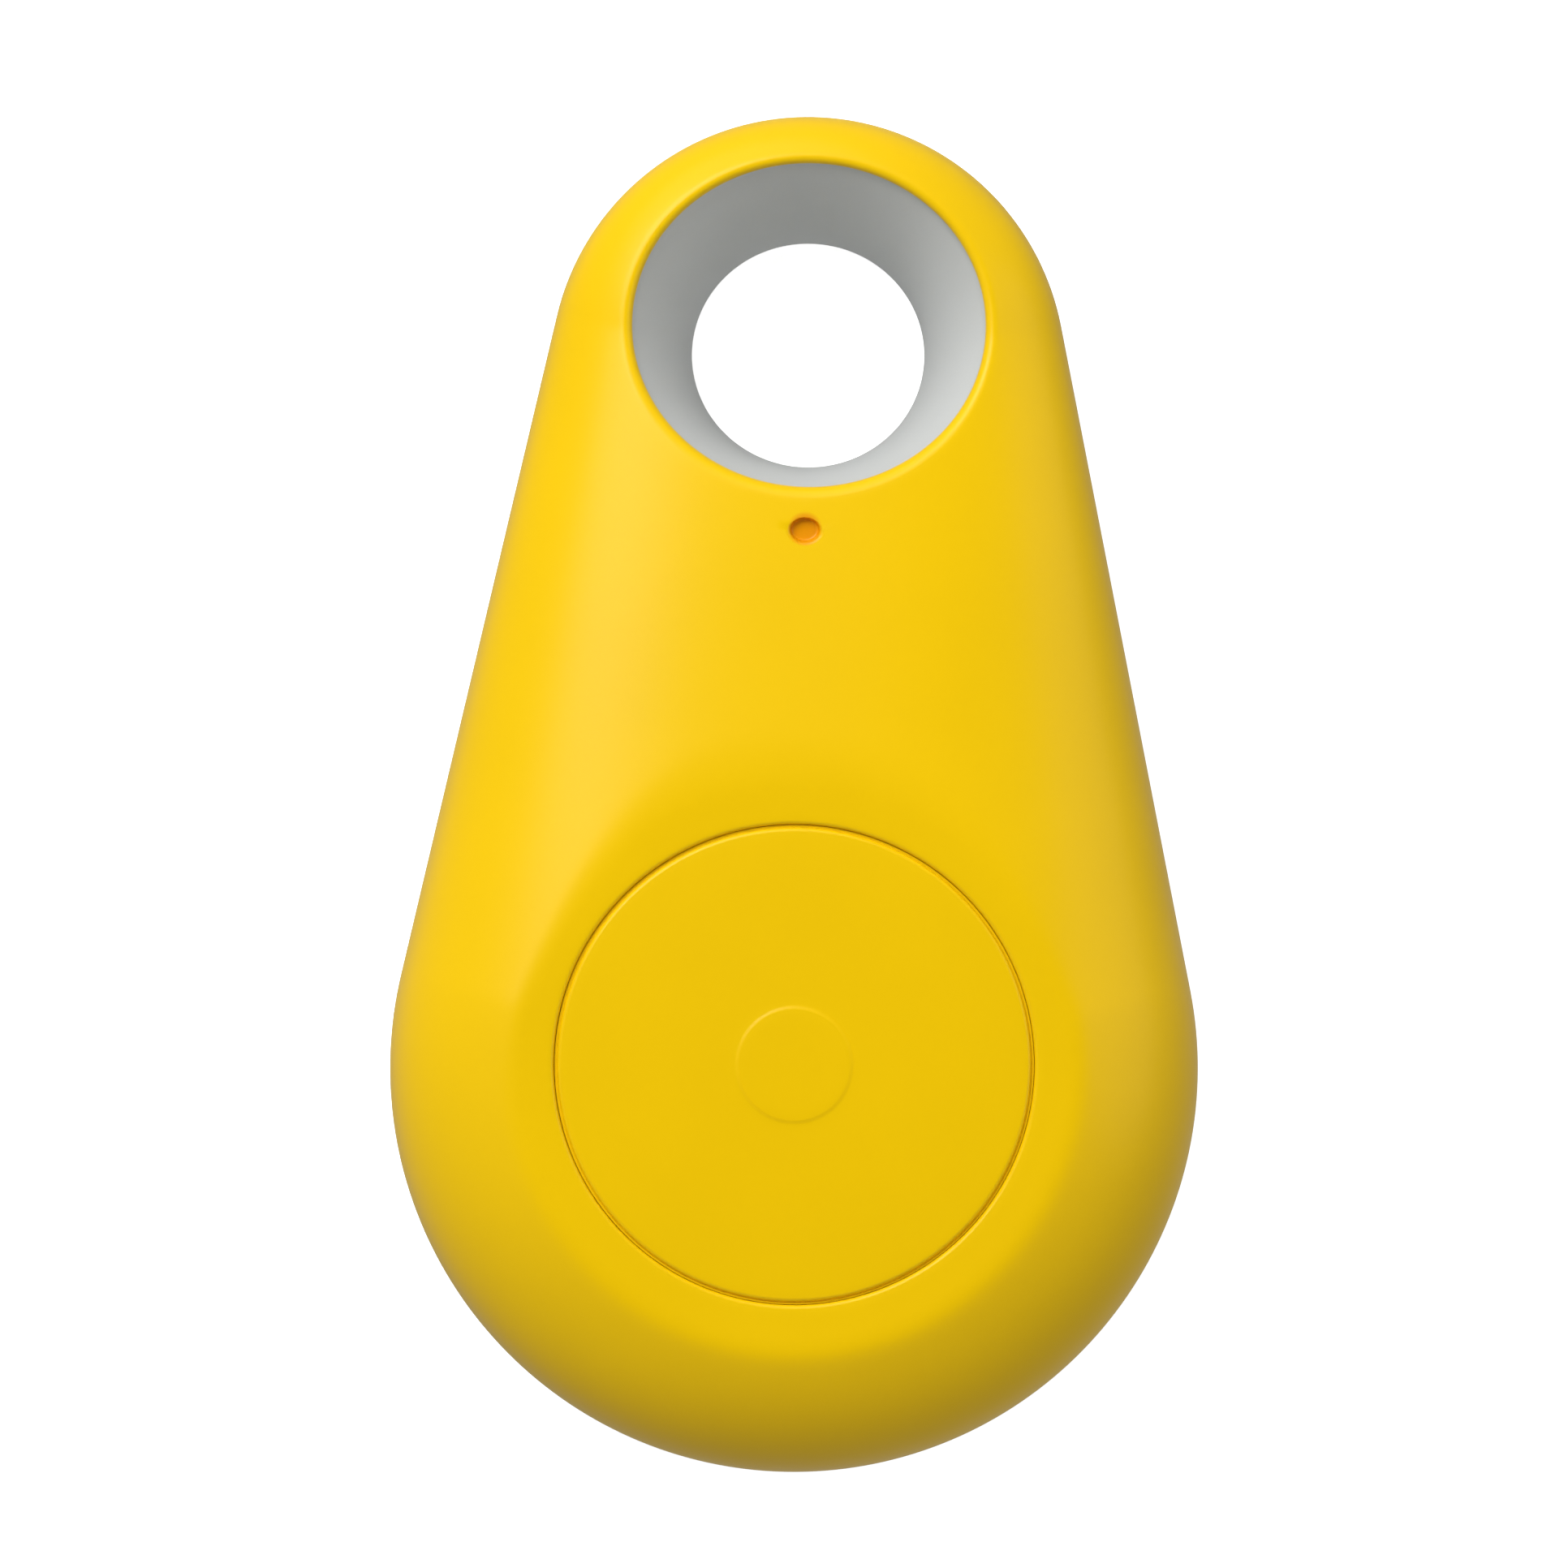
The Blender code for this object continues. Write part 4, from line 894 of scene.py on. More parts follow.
def pin_places():
    """Places of the board's four pins, seen from above."""
    return [(side * x, y) for x, y in PIN_PLACES for side in (1, -1)]


# ---------------------------------------------------------------- case pieces

PIN_PLACES = ((7.9 * MM, 4.6 * MM), (7.5 * MM, -19.6 * MM))
PIN_RADIUS = 0.45 * MM
PIN_HOLE_RADIUS = 0.6 * MM
PIN_TOP = 6.7 * MM
PIN_TAPER = 0.15 * MM
POST_RADIUS = 0.9 * MM
POST_EDGE = 0.08 * MM
POST_ROOT = 0.3 * MM
PILLAR_RADIUS = 1.05 * MM
PILLAR_HOLE_TOP = 7.0 * MM
PILLAR_EDGE = 0.1 * MM
PILLAR_ROOT = 0.4 * MM
GUIDE_INNER = 10.1 * MM
GUIDE_OUTER = 10.8 * MM
GUIDE_LOW = 8.4 * MM
DIMPLE_SIDE = 0.1 * MM
DIMPLE_FLARE = 0.16 * MM
DIMPLE_CORNER = 0.12 * MM
FLANGE_LOW = 8.9 * MM
LEDGE_HEIGHT = 0.2 * MM
LEDGE_TAPER = 0.1 * MM
STEP_WIDTH = 0.2 * MM


def dimple_cutter(shape):
    """Solid that leaves the indicator's dimple, with a rounded floor and mouth."""
    sizes = shape.sizes
    top = shape.front_height(0.0, sizes.dimple_place)
    floor = top - sizes.dimple_depth
    wall = sizes.dimple_radius - DIMPLE_SIDE
    corner = DIMPLE_CORNER
    rows = 6
    profile = [(0.0, floor)]
    profile += rounded_corner(wall - corner, floor + corner, corner, -1, 0, rows)
    for step in range(rows + 1):
        turn = step / rows * QUARTER
        radius = wall + DIMPLE_FLARE * (1 - math.cos(turn))
        profile.append((radius, top - DIMPLE_FLARE * (1 - math.sin(turn))))
    profile += [(wall + DIMPLE_FLARE + 0.05 * MM, top + MM), (0.0, top + MM)]
    cutter = turned(profile, 64, (0.0, sizes.dimple_place))
    about = Matrix.Translation((0.0, -sizes.dimple_place, 0.0))
    bmesh.ops.scale(cutter, vec=DIMPLE_STRETCH, space=about, verts=cutter.verts[:])
    return cutter


def make_front_cover(shape):
    """Domed front shell with its pillars, the button's guide ring and the dimple."""
    solids = []
    low = BOARD_HIGH.z + shape.sizes.fit
    edge = PILLAR_EDGE
    for x, y in pin_places():
        roof = shape.front_height(x, y, shape.wall) + PILLAR_ROOT
        profile = [
            (0.0, PILLAR_HOLE_TOP),
            (PIN_HOLE_RADIUS, PILLAR_HOLE_TOP),
            (PIN_HOLE_RADIUS, low + edge),
            (PIN_HOLE_RADIUS + edge, low),
            (PILLAR_RADIUS - edge, low),
            (PILLAR_RADIUS, low + edge),
            (PILLAR_RADIUS, roof),
            (0.0, roof),
        ]
        solids.append(turned(profile, 40, (x, y)))
    guide_high = shape.facet_z - shape.wall / 2
    profile = [
        (GUIDE_INNER, GUIDE_LOW + edge),
        (GUIDE_INNER + edge, GUIDE_LOW),
        (GUIDE_OUTER - edge, GUIDE_LOW),
        (GUIDE_OUTER, GUIDE_LOW + edge),
        (GUIDE_OUTER, guide_high),
        (GUIDE_INNER, guide_high),
    ]
    solids.append(turned(profile, 160, (0.0, BUTTON_Y)))
    shell = combined(shape.shell(shape.front_section), solids, "UNION")
    shell = combined(shell, [dimple_cutter(shape)], "DIFFERENCE")
    make_piece("case_front", shell, "cover_yellow", "front_case", ["front_cover"])


def make_rear_cover(shape):
    """Rear tray with the eye's lining, the tongue and the board's posts."""
    root = shape.sizes.floor_height - POST_ROOT
    shoulder = BOARD_LOW.z - shape.sizes.fit
    profile = [
        (0.0, root),
        (POST_RADIUS, root),
        (POST_RADIUS, shoulder - POST_EDGE),
        (POST_RADIUS - POST_EDGE, shoulder),
        (PIN_RADIUS, shoulder),
        (PIN_RADIUS, PIN_TOP - PIN_TAPER),
        (PIN_RADIUS - PIN_TAPER, PIN_TOP),
        (0.0, PIN_TOP),
    ]
    posts = [turned(profile, 40, place) for place in pin_places()]
    shell = combined(shape.shell(shape.rear_section), posts, "UNION")
    make_piece("case_rear", shell, "cover_white", "rear_case", ["rear_cover"])


def button_crown(sizes, radius):
    """Height of the button's slightly crowned top, without its disc."""
    flat = BUTTON_RADIUS - sizes.button_round
    top = BUTTON_HIGH.z - sizes.button_crown - sizes.disc_rise
    return top + sizes.button_crown * (1 - (radius / flat) ** 2)


def button_profile(sizes):
    """Half section of the button, from the post's tip up to the middle of its top."""
    crown_rows = 24
    step_rows = 6
    disc_rows = 5
    edge = sizes.button_round
    soft = sizes.edge_round
    flat = BUTTON_RADIUS - edge
    edge_top = button_crown(sizes, flat)
    plate_low = edge_top - sizes.button_plate
    flange = (BUTTON_HIGH.x - BUTTON_LOW.x) / 2 - soft
    flange_high = FLANGE_LOW + sizes.flange_height
    skirt = BUTTON_RADIUS - sizes.button_skirt
    tip = BUTTON_LOW.z
    profile = [(0.0, tip)]
    profile += rounded_corner(sizes.post_radius - soft, tip + soft, soft, -1, 0, 3)
    profile += [(sizes.post_radius, plate_low), (skirt, plate_low), (skirt, FLANGE_LOW)]
    profile += rounded_corner(flange, FLANGE_LOW + soft, soft, -1, 0, 3)
    profile += rounded_corner(flange, flange_high - soft, soft, 0, 1, 3)
    ledge = BUTTON_RADIUS + sizes.button_gap - LEDGE_GAP
    ledge_high = edge_top - edge
    ledge_low = ledge_high - LEDGE_HEIGHT
    profile += [(BUTTON_RADIUS, flange_high), (BUTTON_RADIUS, ledge_low - LEDGE_TAPER)]
    profile += [(ledge, ledge_low), (ledge, ledge_high), (BUTTON_RADIUS, ledge_high)]
    profile += rounded_corner(flat, edge_top - edge, edge, 0, 1, 8)
    ring_radius = sizes.disc_radius + STEP_WIDTH / 2
    for row in range(1, crown_rows + 1):
        radius = mix(flat, ring_radius, row / crown_rows)
        profile.append((radius, button_crown(sizes, radius)))
    for row in range(1, step_rows + 1):
        radius = ring_radius - STEP_WIDTH * row / step_rows
        lift = sizes.disc_rise * smooth_step(row / step_rows)
        profile.append((radius, button_crown(sizes, radius) + lift))
    for row in range(1, disc_rows + 1):
        radius = (ring_radius - STEP_WIDTH) * (1 - row / disc_rows)
        profile.append((radius, button_crown(sizes, radius) + sizes.disc_rise))
    return profile


def make_button(sizes):
    """Press button with its flange, skirt, central post and the low disc on top."""
    cap = turned(button_profile(sizes), 192, (0.0, BUTTON_Y))
    make_piece("press_button", cap, "cover_yellow", "button", ["button_cap"])


# ---------------------------------------------------------------- board

PRINT_SINK = 0.005 * MM
PRINT_RISE = 0.02 * MM
TRACK_WIDTH = 0.2 * MM
TRACK_STEP = 0.35 * MM
VIA_RADIUS = 0.27 * MM
PAD_RADIUS = 0.55 * MM
PAD_PITCH = 1.7 * MM
PAD_ROW = 6.6 * MM
RING_INNER = 0.65 * MM
RING_OUTER = 1.0 * MM
MARK_WIDTH = 0.12 * MM
MARK_RING = 1.1 * MM
MARK_DOT = 0.22 * MM
FRAME_HALF = 3.1 * MM
LEADS_PER_SIDE = 8
LEAD_PITCH = 1.27 * MM
LEAD_SEAT = 2.75 * MM
ANTENNA_OUTER = 12.2 * MM
ANTENNA_INNER = 11.3 * MM
ANTENNA_SWEEP = math.radians(31)
ANTENNA_TURNS = 24
ANTENNA_WIDTH = 0.36 * MM
ANTENNA_SINK = 0.04 * MM


def board_outline(shape):
    """Teardrop outline of the board, cut straight short of the eye's lining."""
    inset = (shape.base_radius * 2 - (BOARD_HIGH.x - BOARD_LOW.x)) / 2
    right = [shape.outline_point(station, inset) for station in range(shape.STATIONS + 1)]
    end_y = BOARD_HIGH.y
    kept = [point for point in right if point.y < end_y]
    share = (end_y - kept[-1].y) / (right[len(kept)].y - kept[-1].y)
    kept.append(kept[-1].lerp(right[len(kept)], share))
    left = [Vector((-point.x, point.y)) for point in reversed(kept[1:])]
    return kept + left


def make_board(shape):
    """Circuit board with its pin holes."""
    low, high = BOARD_LOW.z, BOARD_HIGH.z
    board = prism(board_outline(shape), low, high, 0.06 * MM)
    holes = [disc(PIN_HOLE_RADIUS, low - MM, high + MM, 40, place) for place in pin_places()]
    board = combined(board, holes, "DIFFERENCE")
    make_piece("board", board, "board_green", "rear_case", ["circuit_board"])


def trace_strip(points, width, low, high):
    """A printed track along a path, as a thin raised strip."""
    left = []
    right = []
    for index, point in enumerate(points):
        before = points[max(index - 1, 0)]
        after = points[min(index + 1, len(points) - 1)]
        along = (after - before).normalized()
        across = Vector((-along.y, along.x)) * width / 2
        left.append(point + across)
        right.append(point - across)
    return prism(left + right[::-1], low, high)


def flat_ring(inner, outer, low, high, segments, place):
    """A thin washer between two heights."""
    profile = [(inner, low), (outer, low), (outer, high), (inner, high)]
    return turned(profile, segments, place)


def chip_pin_places():
    """Places where the radio chip's leads meet the board, with the side they are on."""
    x, y = middle_of("radio_chip")
    places = []
    for side in (1, -1):
        for index in range(LEADS_PER_SIDE):
            offset = (index - (LEADS_PER_SIDE - 1) / 2) * LEAD_PITCH
            places.append((x + offset, y + side * LEAD_SEAT, side))
    return places


def make_board_print(shape):
    """Printed tracks under the mask, gold pads, and plain white part outlines."""
    seat = BOARD_HIGH.z - PRINT_SINK
    top = BOARD_HIGH.z + PRINT_RISE
    tracks = []
    rings = []
    for number, (x, y, side) in enumerate(chip_pin_places()):
        lean = 1 if x > 0 else -1
        run = 0.9 * MM + TRACK_STEP * (number % 4)
        start = Vector((x, y + side * 0.5 * MM))
        bend = start + Vector((0.0, side * run * 0.5))
        end = bend + Vector((lean * run, side * run * 0.6))
        tracks.append(trace_strip([start, bend, end], TRACK_WIDTH, seat, top))
        rings.append(disc(VIA_RADIUS, seat, top + PRINT_SINK, 16, tuple(end)))
    make_piece("board_tracks", grouped(tracks), "board_trace", "rear_case")
    pads = []
    for index in range(4):
        place = ((index - 1.5) * PAD_PITCH, PAD_ROW)
        pads.append(disc(PAD_RADIUS, seat, top + 2 * PRINT_SINK, 32, place))
    pads += [flat_ring(RING_INNER, RING_OUTER, seat, top, 32, place) for place in pin_places()]
    make_piece("board_pads", grouped(pads + rings), "gold", "rear_case")
    marks = []
    x, y = middle_of("switch_base")
    for side in (1, -1):
        for end in (1, -1):
            corner = Vector((x + side * FRAME_HALF, y + end * FRAME_HALF))
            long_arm = corner - Vector((side * 1.2 * MM, 0.0))
            short_arm = corner - Vector((0.0, end * 0.45 * MM))
            marks.append(trace_strip([long_arm, corner], MARK_WIDTH, seat, top))
            marks.append(trace_strip([corner, short_arm], MARK_WIDTH, seat, top))
    chip_x, chip_y = middle_of("radio_chip")
    marks.append(disc(MARK_DOT, seat, top, 20, (chip_x - 5.6 * MM, chip_y - 2.2 * MM)))
    for place in pin_places():
        marks.append(flat_ring(MARK_RING, MARK_RING + MARK_WIDTH, seat, top, 40, place))
    make_piece("board_marks", grouped(marks), "silk_white", "rear_case")


def make_antenna(shape):
    """Printed antenna that zigzags along the board's lower edge."""
    low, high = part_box("antenna_trace")
    line = []
    for turn in range(ANTENNA_TURNS + 1):
        angle = mix(-ANTENNA_SWEEP, ANTENNA_SWEEP, turn / ANTENNA_TURNS) - QUARTER
        radius = ANTENNA_OUTER if turn % 4 in (1, 2) else ANTENNA_INNER
        line.append(Vector((radius * math.cos(angle), shape.base_y + radius * math.sin(angle))))
    track = trace_strip(line, ANTENNA_WIDTH, low.z - ANTENNA_SINK, high.z)
    make_piece("antenna_track", track, "copper", "rear_case", ["antenna_trace"])


# ---------------------------------------------------------------- board parts

LEAD_SHEET = 0.16 * MM
LEAD_BEND = 0.12 * MM
LEAD_ROOT = 0.1 * MM
SOLDER_FILM = 0.05 * MM
SWITCH_WELL_RADIUS = 1.9 * MM
SWITCH_WELL_FLOOR = 0.35 * MM
SWITCH_MOUTH_RADIUS = 1.32 * MM
SWITCH_STEM_RADIUS = 1.2 * MM
TAB_SHEET = 0.12 * MM
TAB_REACH = 0.07 * MM
TAB_DROP = 0.75 * MM
SOUNDER_WALL = 0.45 * MM
SOUNDER_HOLE = 0.9 * MM
CHIP_CAP = 0.32 * MM


def gull_wing(reach, shoulder, half_width, thickness=LEAD_SHEET):
    """A lead that leaves a package along +X and bends down to a foot on the board."""
    foot = reach * 0.45
    middle = thickness / 2
    path = [
        (-LEAD_ROOT, shoulder),
        (reach * 0.38, shoulder),
        (reach - foot, middle),
        (reach, middle),
    ]
    return sheet_strip(path, thickness, half_width, LEAD_BEND)


def solder_drop(x, y, size_x, size_y, height):
    """A low domed drop of solder on the board."""
    underside = -0.05
    bm = bmesh.new()
    bmesh.ops.create_uvsphere(bm, u_segments=20, v_segments=10, radius=1.0)
    for vert in bm.verts:
        vert.co.z = max(vert.co.z, underside)
    bmesh.ops.remove_doubles(bm, verts=bm.verts[:], dist=0.001)
    bmesh.ops.scale(bm, vec=(size_x / 2, size_y / 2, height), verts=bm.verts[:])
    bmesh.ops.translate(bm, verts=bm.verts[:], vec=(x, y, BOARD_HIGH.z))
    return bm


def make_switch():
    """Press switch: base with a round well, steel plate, stem and four legs."""
    place = middle_of("switch_base")
    low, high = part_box("switch_base")
    base = slab_of("switch_base", 0.15 * MM)
    well = disc(SWITCH_WELL_RADIUS, low.z + SWITCH_WELL_FLOOR, high.z + MM, 48, place)
    base = combined(base, [well], "DIFFERENCE")
    make_piece("switch_body", base, "black_moulding", "rear_case", ["switch_base"])
    plate_low, plate_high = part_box("switch_frame")
    reach = (plate_high.x - plate_low.x) / 2
    plate = slab(reach * 2, reach * 2, plate_low.z, plate_high.z, place, 0.06 * MM)
    mouth = disc(SWITCH_MOUTH_RADIUS, plate_low.z - MM, plate_high.z + MM, 48, place)
    solids = [combined(plate, [mouth], "DIFFERENCE")]
    shoulder = plate_high.z - 0.08 * MM
    path = [
        (reach - 0.5 * MM, shoulder),
        (reach + TAB_REACH, shoulder),
        (reach + TAB_REACH, plate_low.z - TAB_DROP),
    ]
    for turn in (QUARTER, math.pi + QUARTER):
        tab = sheet_strip(path, TAB_SHEET, 0.8 * MM, 0.1 * MM)
        solids.append(placed(tab, place[0], place[1], 0.0, turn))
    make_piece("switch_plate", grouped(solids), "bright_steel", "rear_case", ["switch_frame"])
    stem_low, stem_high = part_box("switch_plunger")
    edge = 0.12 * MM
    flange = (stem_high.x - stem_low.x) / 2
    step = high.z - bpy.context.scene.tag_sizes.fit
    profile = [(0.0, stem_low.z)]
    profile += rounded_corner(flange - edge, stem_low.z + edge, edge, -1, 0, 3)
    profile += [(flange, step), (SWITCH_STEM_RADIUS, step)]
    profile += rounded_corner(SWITCH_STEM_RADIUS - edge, stem_high.z - edge, edge, 0, 1, 5)
    profile.append((0.0, stem_high.z))
    stem = turned(profile, 64, place)
    make_piece("switch_stem", stem, "black_moulding", "plunger", ["switch_plunger"])
    dress_node("switch_dome", "nickel")
    legs = []
    joints = []
    nodes = [f"switch_terminal_{index}" for index in range(1, 5)]
    for node in nodes:
        x, y = middle_of(node)
        leg_low, leg_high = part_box(node)
        start, turn = (leg_low.x, 0.0) if x > 0 else (leg_high.x, math.pi)
        leg = gull_wing(leg_high.x - leg_low.x, 0.55 * MM, 0.32 * MM)
        legs.append(placed(leg, start, y, leg_low.z, turn))
        drop_x = x + math.copysign(0.35 * MM, x)
        joints.append(solder_drop(drop_x, y, 0.9 * MM, MM, 0.2 * MM))
    make_piece("switch_legs", grouped(legs), "tin", "rear_case", nodes)
    make_piece("switch_solder", grouped(joints), "tin", "rear_case")


def make_radio_chip():
    """Moulded radio chip with a dimple at its first lead, and eight leads on each side."""
    low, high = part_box("radio_chip")
    x, y = middle_of("radio_chip")
    package = slab_of("radio_chip", 0.12 * MM)
    mark = disc(0.35 * MM, high.z - 0.06 * MM, high.z + MM, 32, (x - 4.2 * MM, y - 1.1 * MM))
    package = combined(package, [mark], "DIFFERENCE")
    make_piece("radio_package", package, "black_moulding", "rear_case", ["radio_chip"])
    leads = []
    joints = []
    seat = BOARD_HIGH.z + SOLDER_FILM
    start = (high.y - low.y) / 2
    shoulder = mix(low.z, high.z, 0.42) - seat
    for pin_x, pin_y, side in chip_pin_places():
        lead = gull_wing(LEAD_SEAT + 0.25 * MM - start, shoulder, 0.2 * MM)
        leads.append(placed(lead, pin_x, y + side * start, seat, side * QUARTER))
        drop_y = pin_y + side * 0.2 * MM
        joints.append(solder_drop(pin_x, drop_y, 0.5 * MM, 0.9 * MM, 0.12 * MM))
    make_piece("radio_leads", grouped(leads), "tin", "rear_case")
    make_piece("radio_solder", grouped(joints), "tin", "rear_case")


def make_transistor():
    """Transistor that drives the sounder, with its three leads."""
    node = "driver_transistor"
    low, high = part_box(node)
    x, y = middle_of(node)
    package = slab_of(node, 0.08 * MM)
    make_piece("transistor_package", package, "black_moulding", "rear_case", [node])
    seat = BOARD_HIGH.z + SOLDER_FILM
    start = (high.y - low.y) / 2
    spread = 0.95 * MM
    leads = []
    joints = []
    for side, offset in ((1, 0.0), (-1, spread), (-1, -spread)):
        lead = gull_wing(0.6 * MM, 0.45 * MM, 0.2 * MM, 0.12 * MM)
        leads.append(placed(lead, x + offset, y + side * start, seat, side * QUARTER))
        drop_y = y + side * (start + 0.5 * MM)
        joints.append(solder_drop(x + offset, drop_y, 0.55 * MM, 0.6 * MM, 0.12 * MM))
    make_piece("transistor_leads", grouped(leads), "tin", "rear_case")
    make_piece("transistor_solder", grouped(joints), "tin", "rear_case")


def make_crystal():
    """Clock crystal: a ceramic base with a seam-welded metal lid."""
    base = slab_of("crystal_base", 0.08 * MM)
    make_piece("crystal_body", base, "black_moulding", "rear_case", ["crystal_base"])
    lid = slab_of("crystal_lid", 0.12 * MM, 4)
    make_piece("crystal_top", lid, "nickel", "rear_case", ["crystal_lid"])


def make_indicator():
    """Indicator lamp: a white body with end caps, a phosphor spot and a clear lens."""
    low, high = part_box("indicator_led")
    x, y = middle_of("indicator_led")
    body = slab_of("indicator_led", 0.05 * MM)
    make_piece("lamp_body", body, "led_white", "rear_case", ["indicator_led"])
    caps = []
    for side in (1, -1):
        centre = (x + side * (high.x - low.x) / 2, y)
        caps.append(slab(0.3 * MM, 1.22 * MM, low.z - 0.03 * MM, high.z, centre, 0.04 * MM, 2))
    make_piece("lamp_ends", grouped(caps), "gold", "rear_case")
    spot = disc(0.3 * MM, high.z - 0.02 * MM, high.z + 0.12 * MM, 32, (x, y), 0.05 * MM)
    make_piece("lamp_spot", spot, "lamp_phosphor", "rear_case")
    lens = slab_of("indicator_lens", 0.12 * MM, 4)
    make_piece("lamp_lens", lens, "clear_resin", "rear_case", ["indicator_lens"])


def make_small_chips():
    """Chip resistors and capacitors with their tinned end caps and solder."""
    caps = []
    joints = []
    for kind, count, finish in (("resistor", 4, "black_moulding"), ("capacitor", 7, "ceramic_tan")):
        bodies = []
        nodes = [f"{kind}_{index}" for index in range(1, count + 1)]
        for node in nodes:
            low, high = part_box(node)
            x, y = middle_of(node)
            size = high - low
            quarter = size.y > size.x
            turn = QUARTER if quarter else 0.0
            reach, wide = max(size.x, size.y) / 2, min(size.x, size.y)
            body_size = (2 * (reach - CHIP_CAP), wide - 0.04 * MM)
            body = slab(*body_size, low.z, high.z - 0.02 * MM)
            bodies.append(placed(body, x, y, 0.0, turn))
            for side in (1, -1):
                centre = (side * (reach - CHIP_CAP / 2), 0.0)
                end = slab(CHIP_CAP, wide, low.z, high.z, centre, 0.06 * MM, 2)
                caps.append(placed(end, x, y, 0.0, turn))
                ahead = side * (reach + 0.02 * MM)
                drop = (x, y + ahead) if quarter else (x + ahead, y)
                joints.append(solder_drop(*drop, 0.5 * MM, 0.9 * MM, 0.2 * MM))
        make_piece(f"{kind}_bodies", grouped(bodies), finish, "rear_case", nodes)
    make_piece("chip_ends", grouped(caps), "tin", "rear_case")
    make_piece("chip_solder", grouped(joints), "tin", "rear_case")


def make_sounder():
    """Sounder on the board's back: case with its sound hole, base, legs and inner parts."""
    place = middle_of("sounder_case")
    low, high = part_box("sounder_case")
    case = slab_of("sounder_case", 0.35 * MM, 4)
    bore_radius = (high.x - low.x) / 2 - SOUNDER_WALL
    bore = disc(bore_radius, low.z + SOUNDER_WALL, high.z + MM, 64, place)
    port = disc(SOUNDER_HOLE, low.z - MM, low.z + MM, 48, place)
    case = combined(case, [bore, port], "DIFFERENCE")
    make_piece("sounder_box", case, "black_moulding", "rear_case", ["sounder_case"])
    base = slab_of("sounder_base", 0.12 * MM)
    make_piece("sounder_plate", base, "black_moulding", "rear_case", ["sounder_base"])
    nodes = ["sounder_terminal_1", "sounder_terminal_2"]
    legs = grouped([slab_of(node, 0.06 * MM) for node in nodes])
    make_piece("sounder_legs", legs, "tin", "rear_case", nodes)
    dress_node("sounder_diaphragm", "bright_steel")
    dress_node("sounder_magnet", "magnet_grey")
    dress_node("sounder_coil", "copper")
    dress_node("sounder_core", "bright_steel")
    dress_node("sounder_pad", "foam_grey")


# ---------------------------------------------------------------- power

CLIP_SHEET = 0.2 * MM
CLIP_LEG = 10.5 * MM
CELL_SHEET = 0.25 * MM
CELL_EDGE = 0.3 * MM
CELL_CRIMP = 0.7 * MM
CELL_PLAY = 0.05 * MM


def make_battery_clip():
    """Steel strap under the cell, bent up to a soldered foot on each side."""
    low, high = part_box("battery_clip")
    x, y = middle_of("battery_clip")
    strap = low.z + CLIP_SHEET / 2
    foot = high.z - CLIP_SHEET / 2
    right = [(CLIP_LEG, strap), (CLIP_LEG, foot), (high.x, foot)]
    left = [(-across, height) for across, height in reversed(right)]
    clip = sheet_strip(left + right, CLIP_SHEET, (high.y - low.y) / 2, 0.25 * MM)
    placed(clip, x, y)
    make_piece("cell_clip", clip, "nickel", "rear_case", ["battery_clip"])
    dress_node("negative_contact", "gold")


def make_coin_cell():
    """Coin cell: drawn can with a crimped edge, seal and cap, and its inner discs."""
    place = middle_of("cell_can")
    low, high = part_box("cell_can")
    cap_low, cap_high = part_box("cell_cap")
    seal_low, seal_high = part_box("cell_gasket")
    radius = (high.x - low.x) / 2
    edge = CELL_EDGE
    lip = radius - CELL_CRIMP
    inside = radius - CELL_SHEET
    under = high.z - CELL_SHEET
    profile = [(0.0, low.z)]
    profile += rounded_corner(radius - edge, low.z + edge, edge, -1, 0, 6)
    profile += rounded_corner(radius - edge, high.z - edge, edge, 0, 1, 6)
    profile += [(lip, high.z), (lip, under), (inside, under - CELL_PLAY)]
    profile += [(inside, low.z + CELL_SHEET), (0.0, low.z + CELL_SHEET)]
    can = turned(profile, 128, place)
    make_piece("coin_can", can, "nickel", "rear_case", ["cell_can"])
    outer = (seal_high.x - seal_low.x) / 2
    cap_radius = (cap_high.x - cap_low.x) / 2
    inner = cap_radius + CELL_PLAY
    neck = under - 2 * CELL_PLAY
    profile = [
        (inner, seal_low.z),
        (outer, seal_low.z),
        (outer, neck),
        (lip - CELL_PLAY, neck),
        (lip - CELL_PLAY, seal_high.z),
        (inner, seal_high.z),
    ]
    seal = turned(profile, 128, place)
    make_piece("coin_seal", seal, "gasket_black", "rear_case", ["cell_gasket"])
    profile = [(0.0, cap_high.z)]
    profile += rounded_corner(cap_radius - edge, cap_high.z - edge, edge, 1, 0, 6)
    profile += [(cap_radius, cap_low.z), (cap_radius - CELL_SHEET, cap_low.z)]
    profile += [(cap_radius - CELL_SHEET, cap_high.z - CELL_SHEET), (0.0, cap_high.z - CELL_SHEET)]
    cap = turned(profile, 128, place)
    make_piece("coin_cap", cap, "bright_steel", "rear_case", ["cell_cap"])
    dress_node("cell_cathode", "cathode_black")
    dress_node("cell_separator", "separator_white")
    dress_node("cell_lithium", "lithium_grey")


# ---------------------------------------------------------------- stage

FLOOR_REACH = 3.0
FLOOR_DROP = 0.02 * MM
BACKDROP_RADIUS = 2.6
BACKDROP_LOW = -0.02
BACKDROP_HIGH = 2.5
BACKDROP_THICKNESS = 0.01
LIGHT_DISTANCE = 0.5
CAMERA_DISTANCE = 0.45
CAMERA_X = -0.6 * MM
CAMERA_Y = 0.38 * MM
CAMERA_ROLL = math.radians(1.15)
VIEW_WIDTH = 60.2 * MM
FOCUS_HEIGHT = 5.0 * MM
SENSOR_WIDTH = 36.0


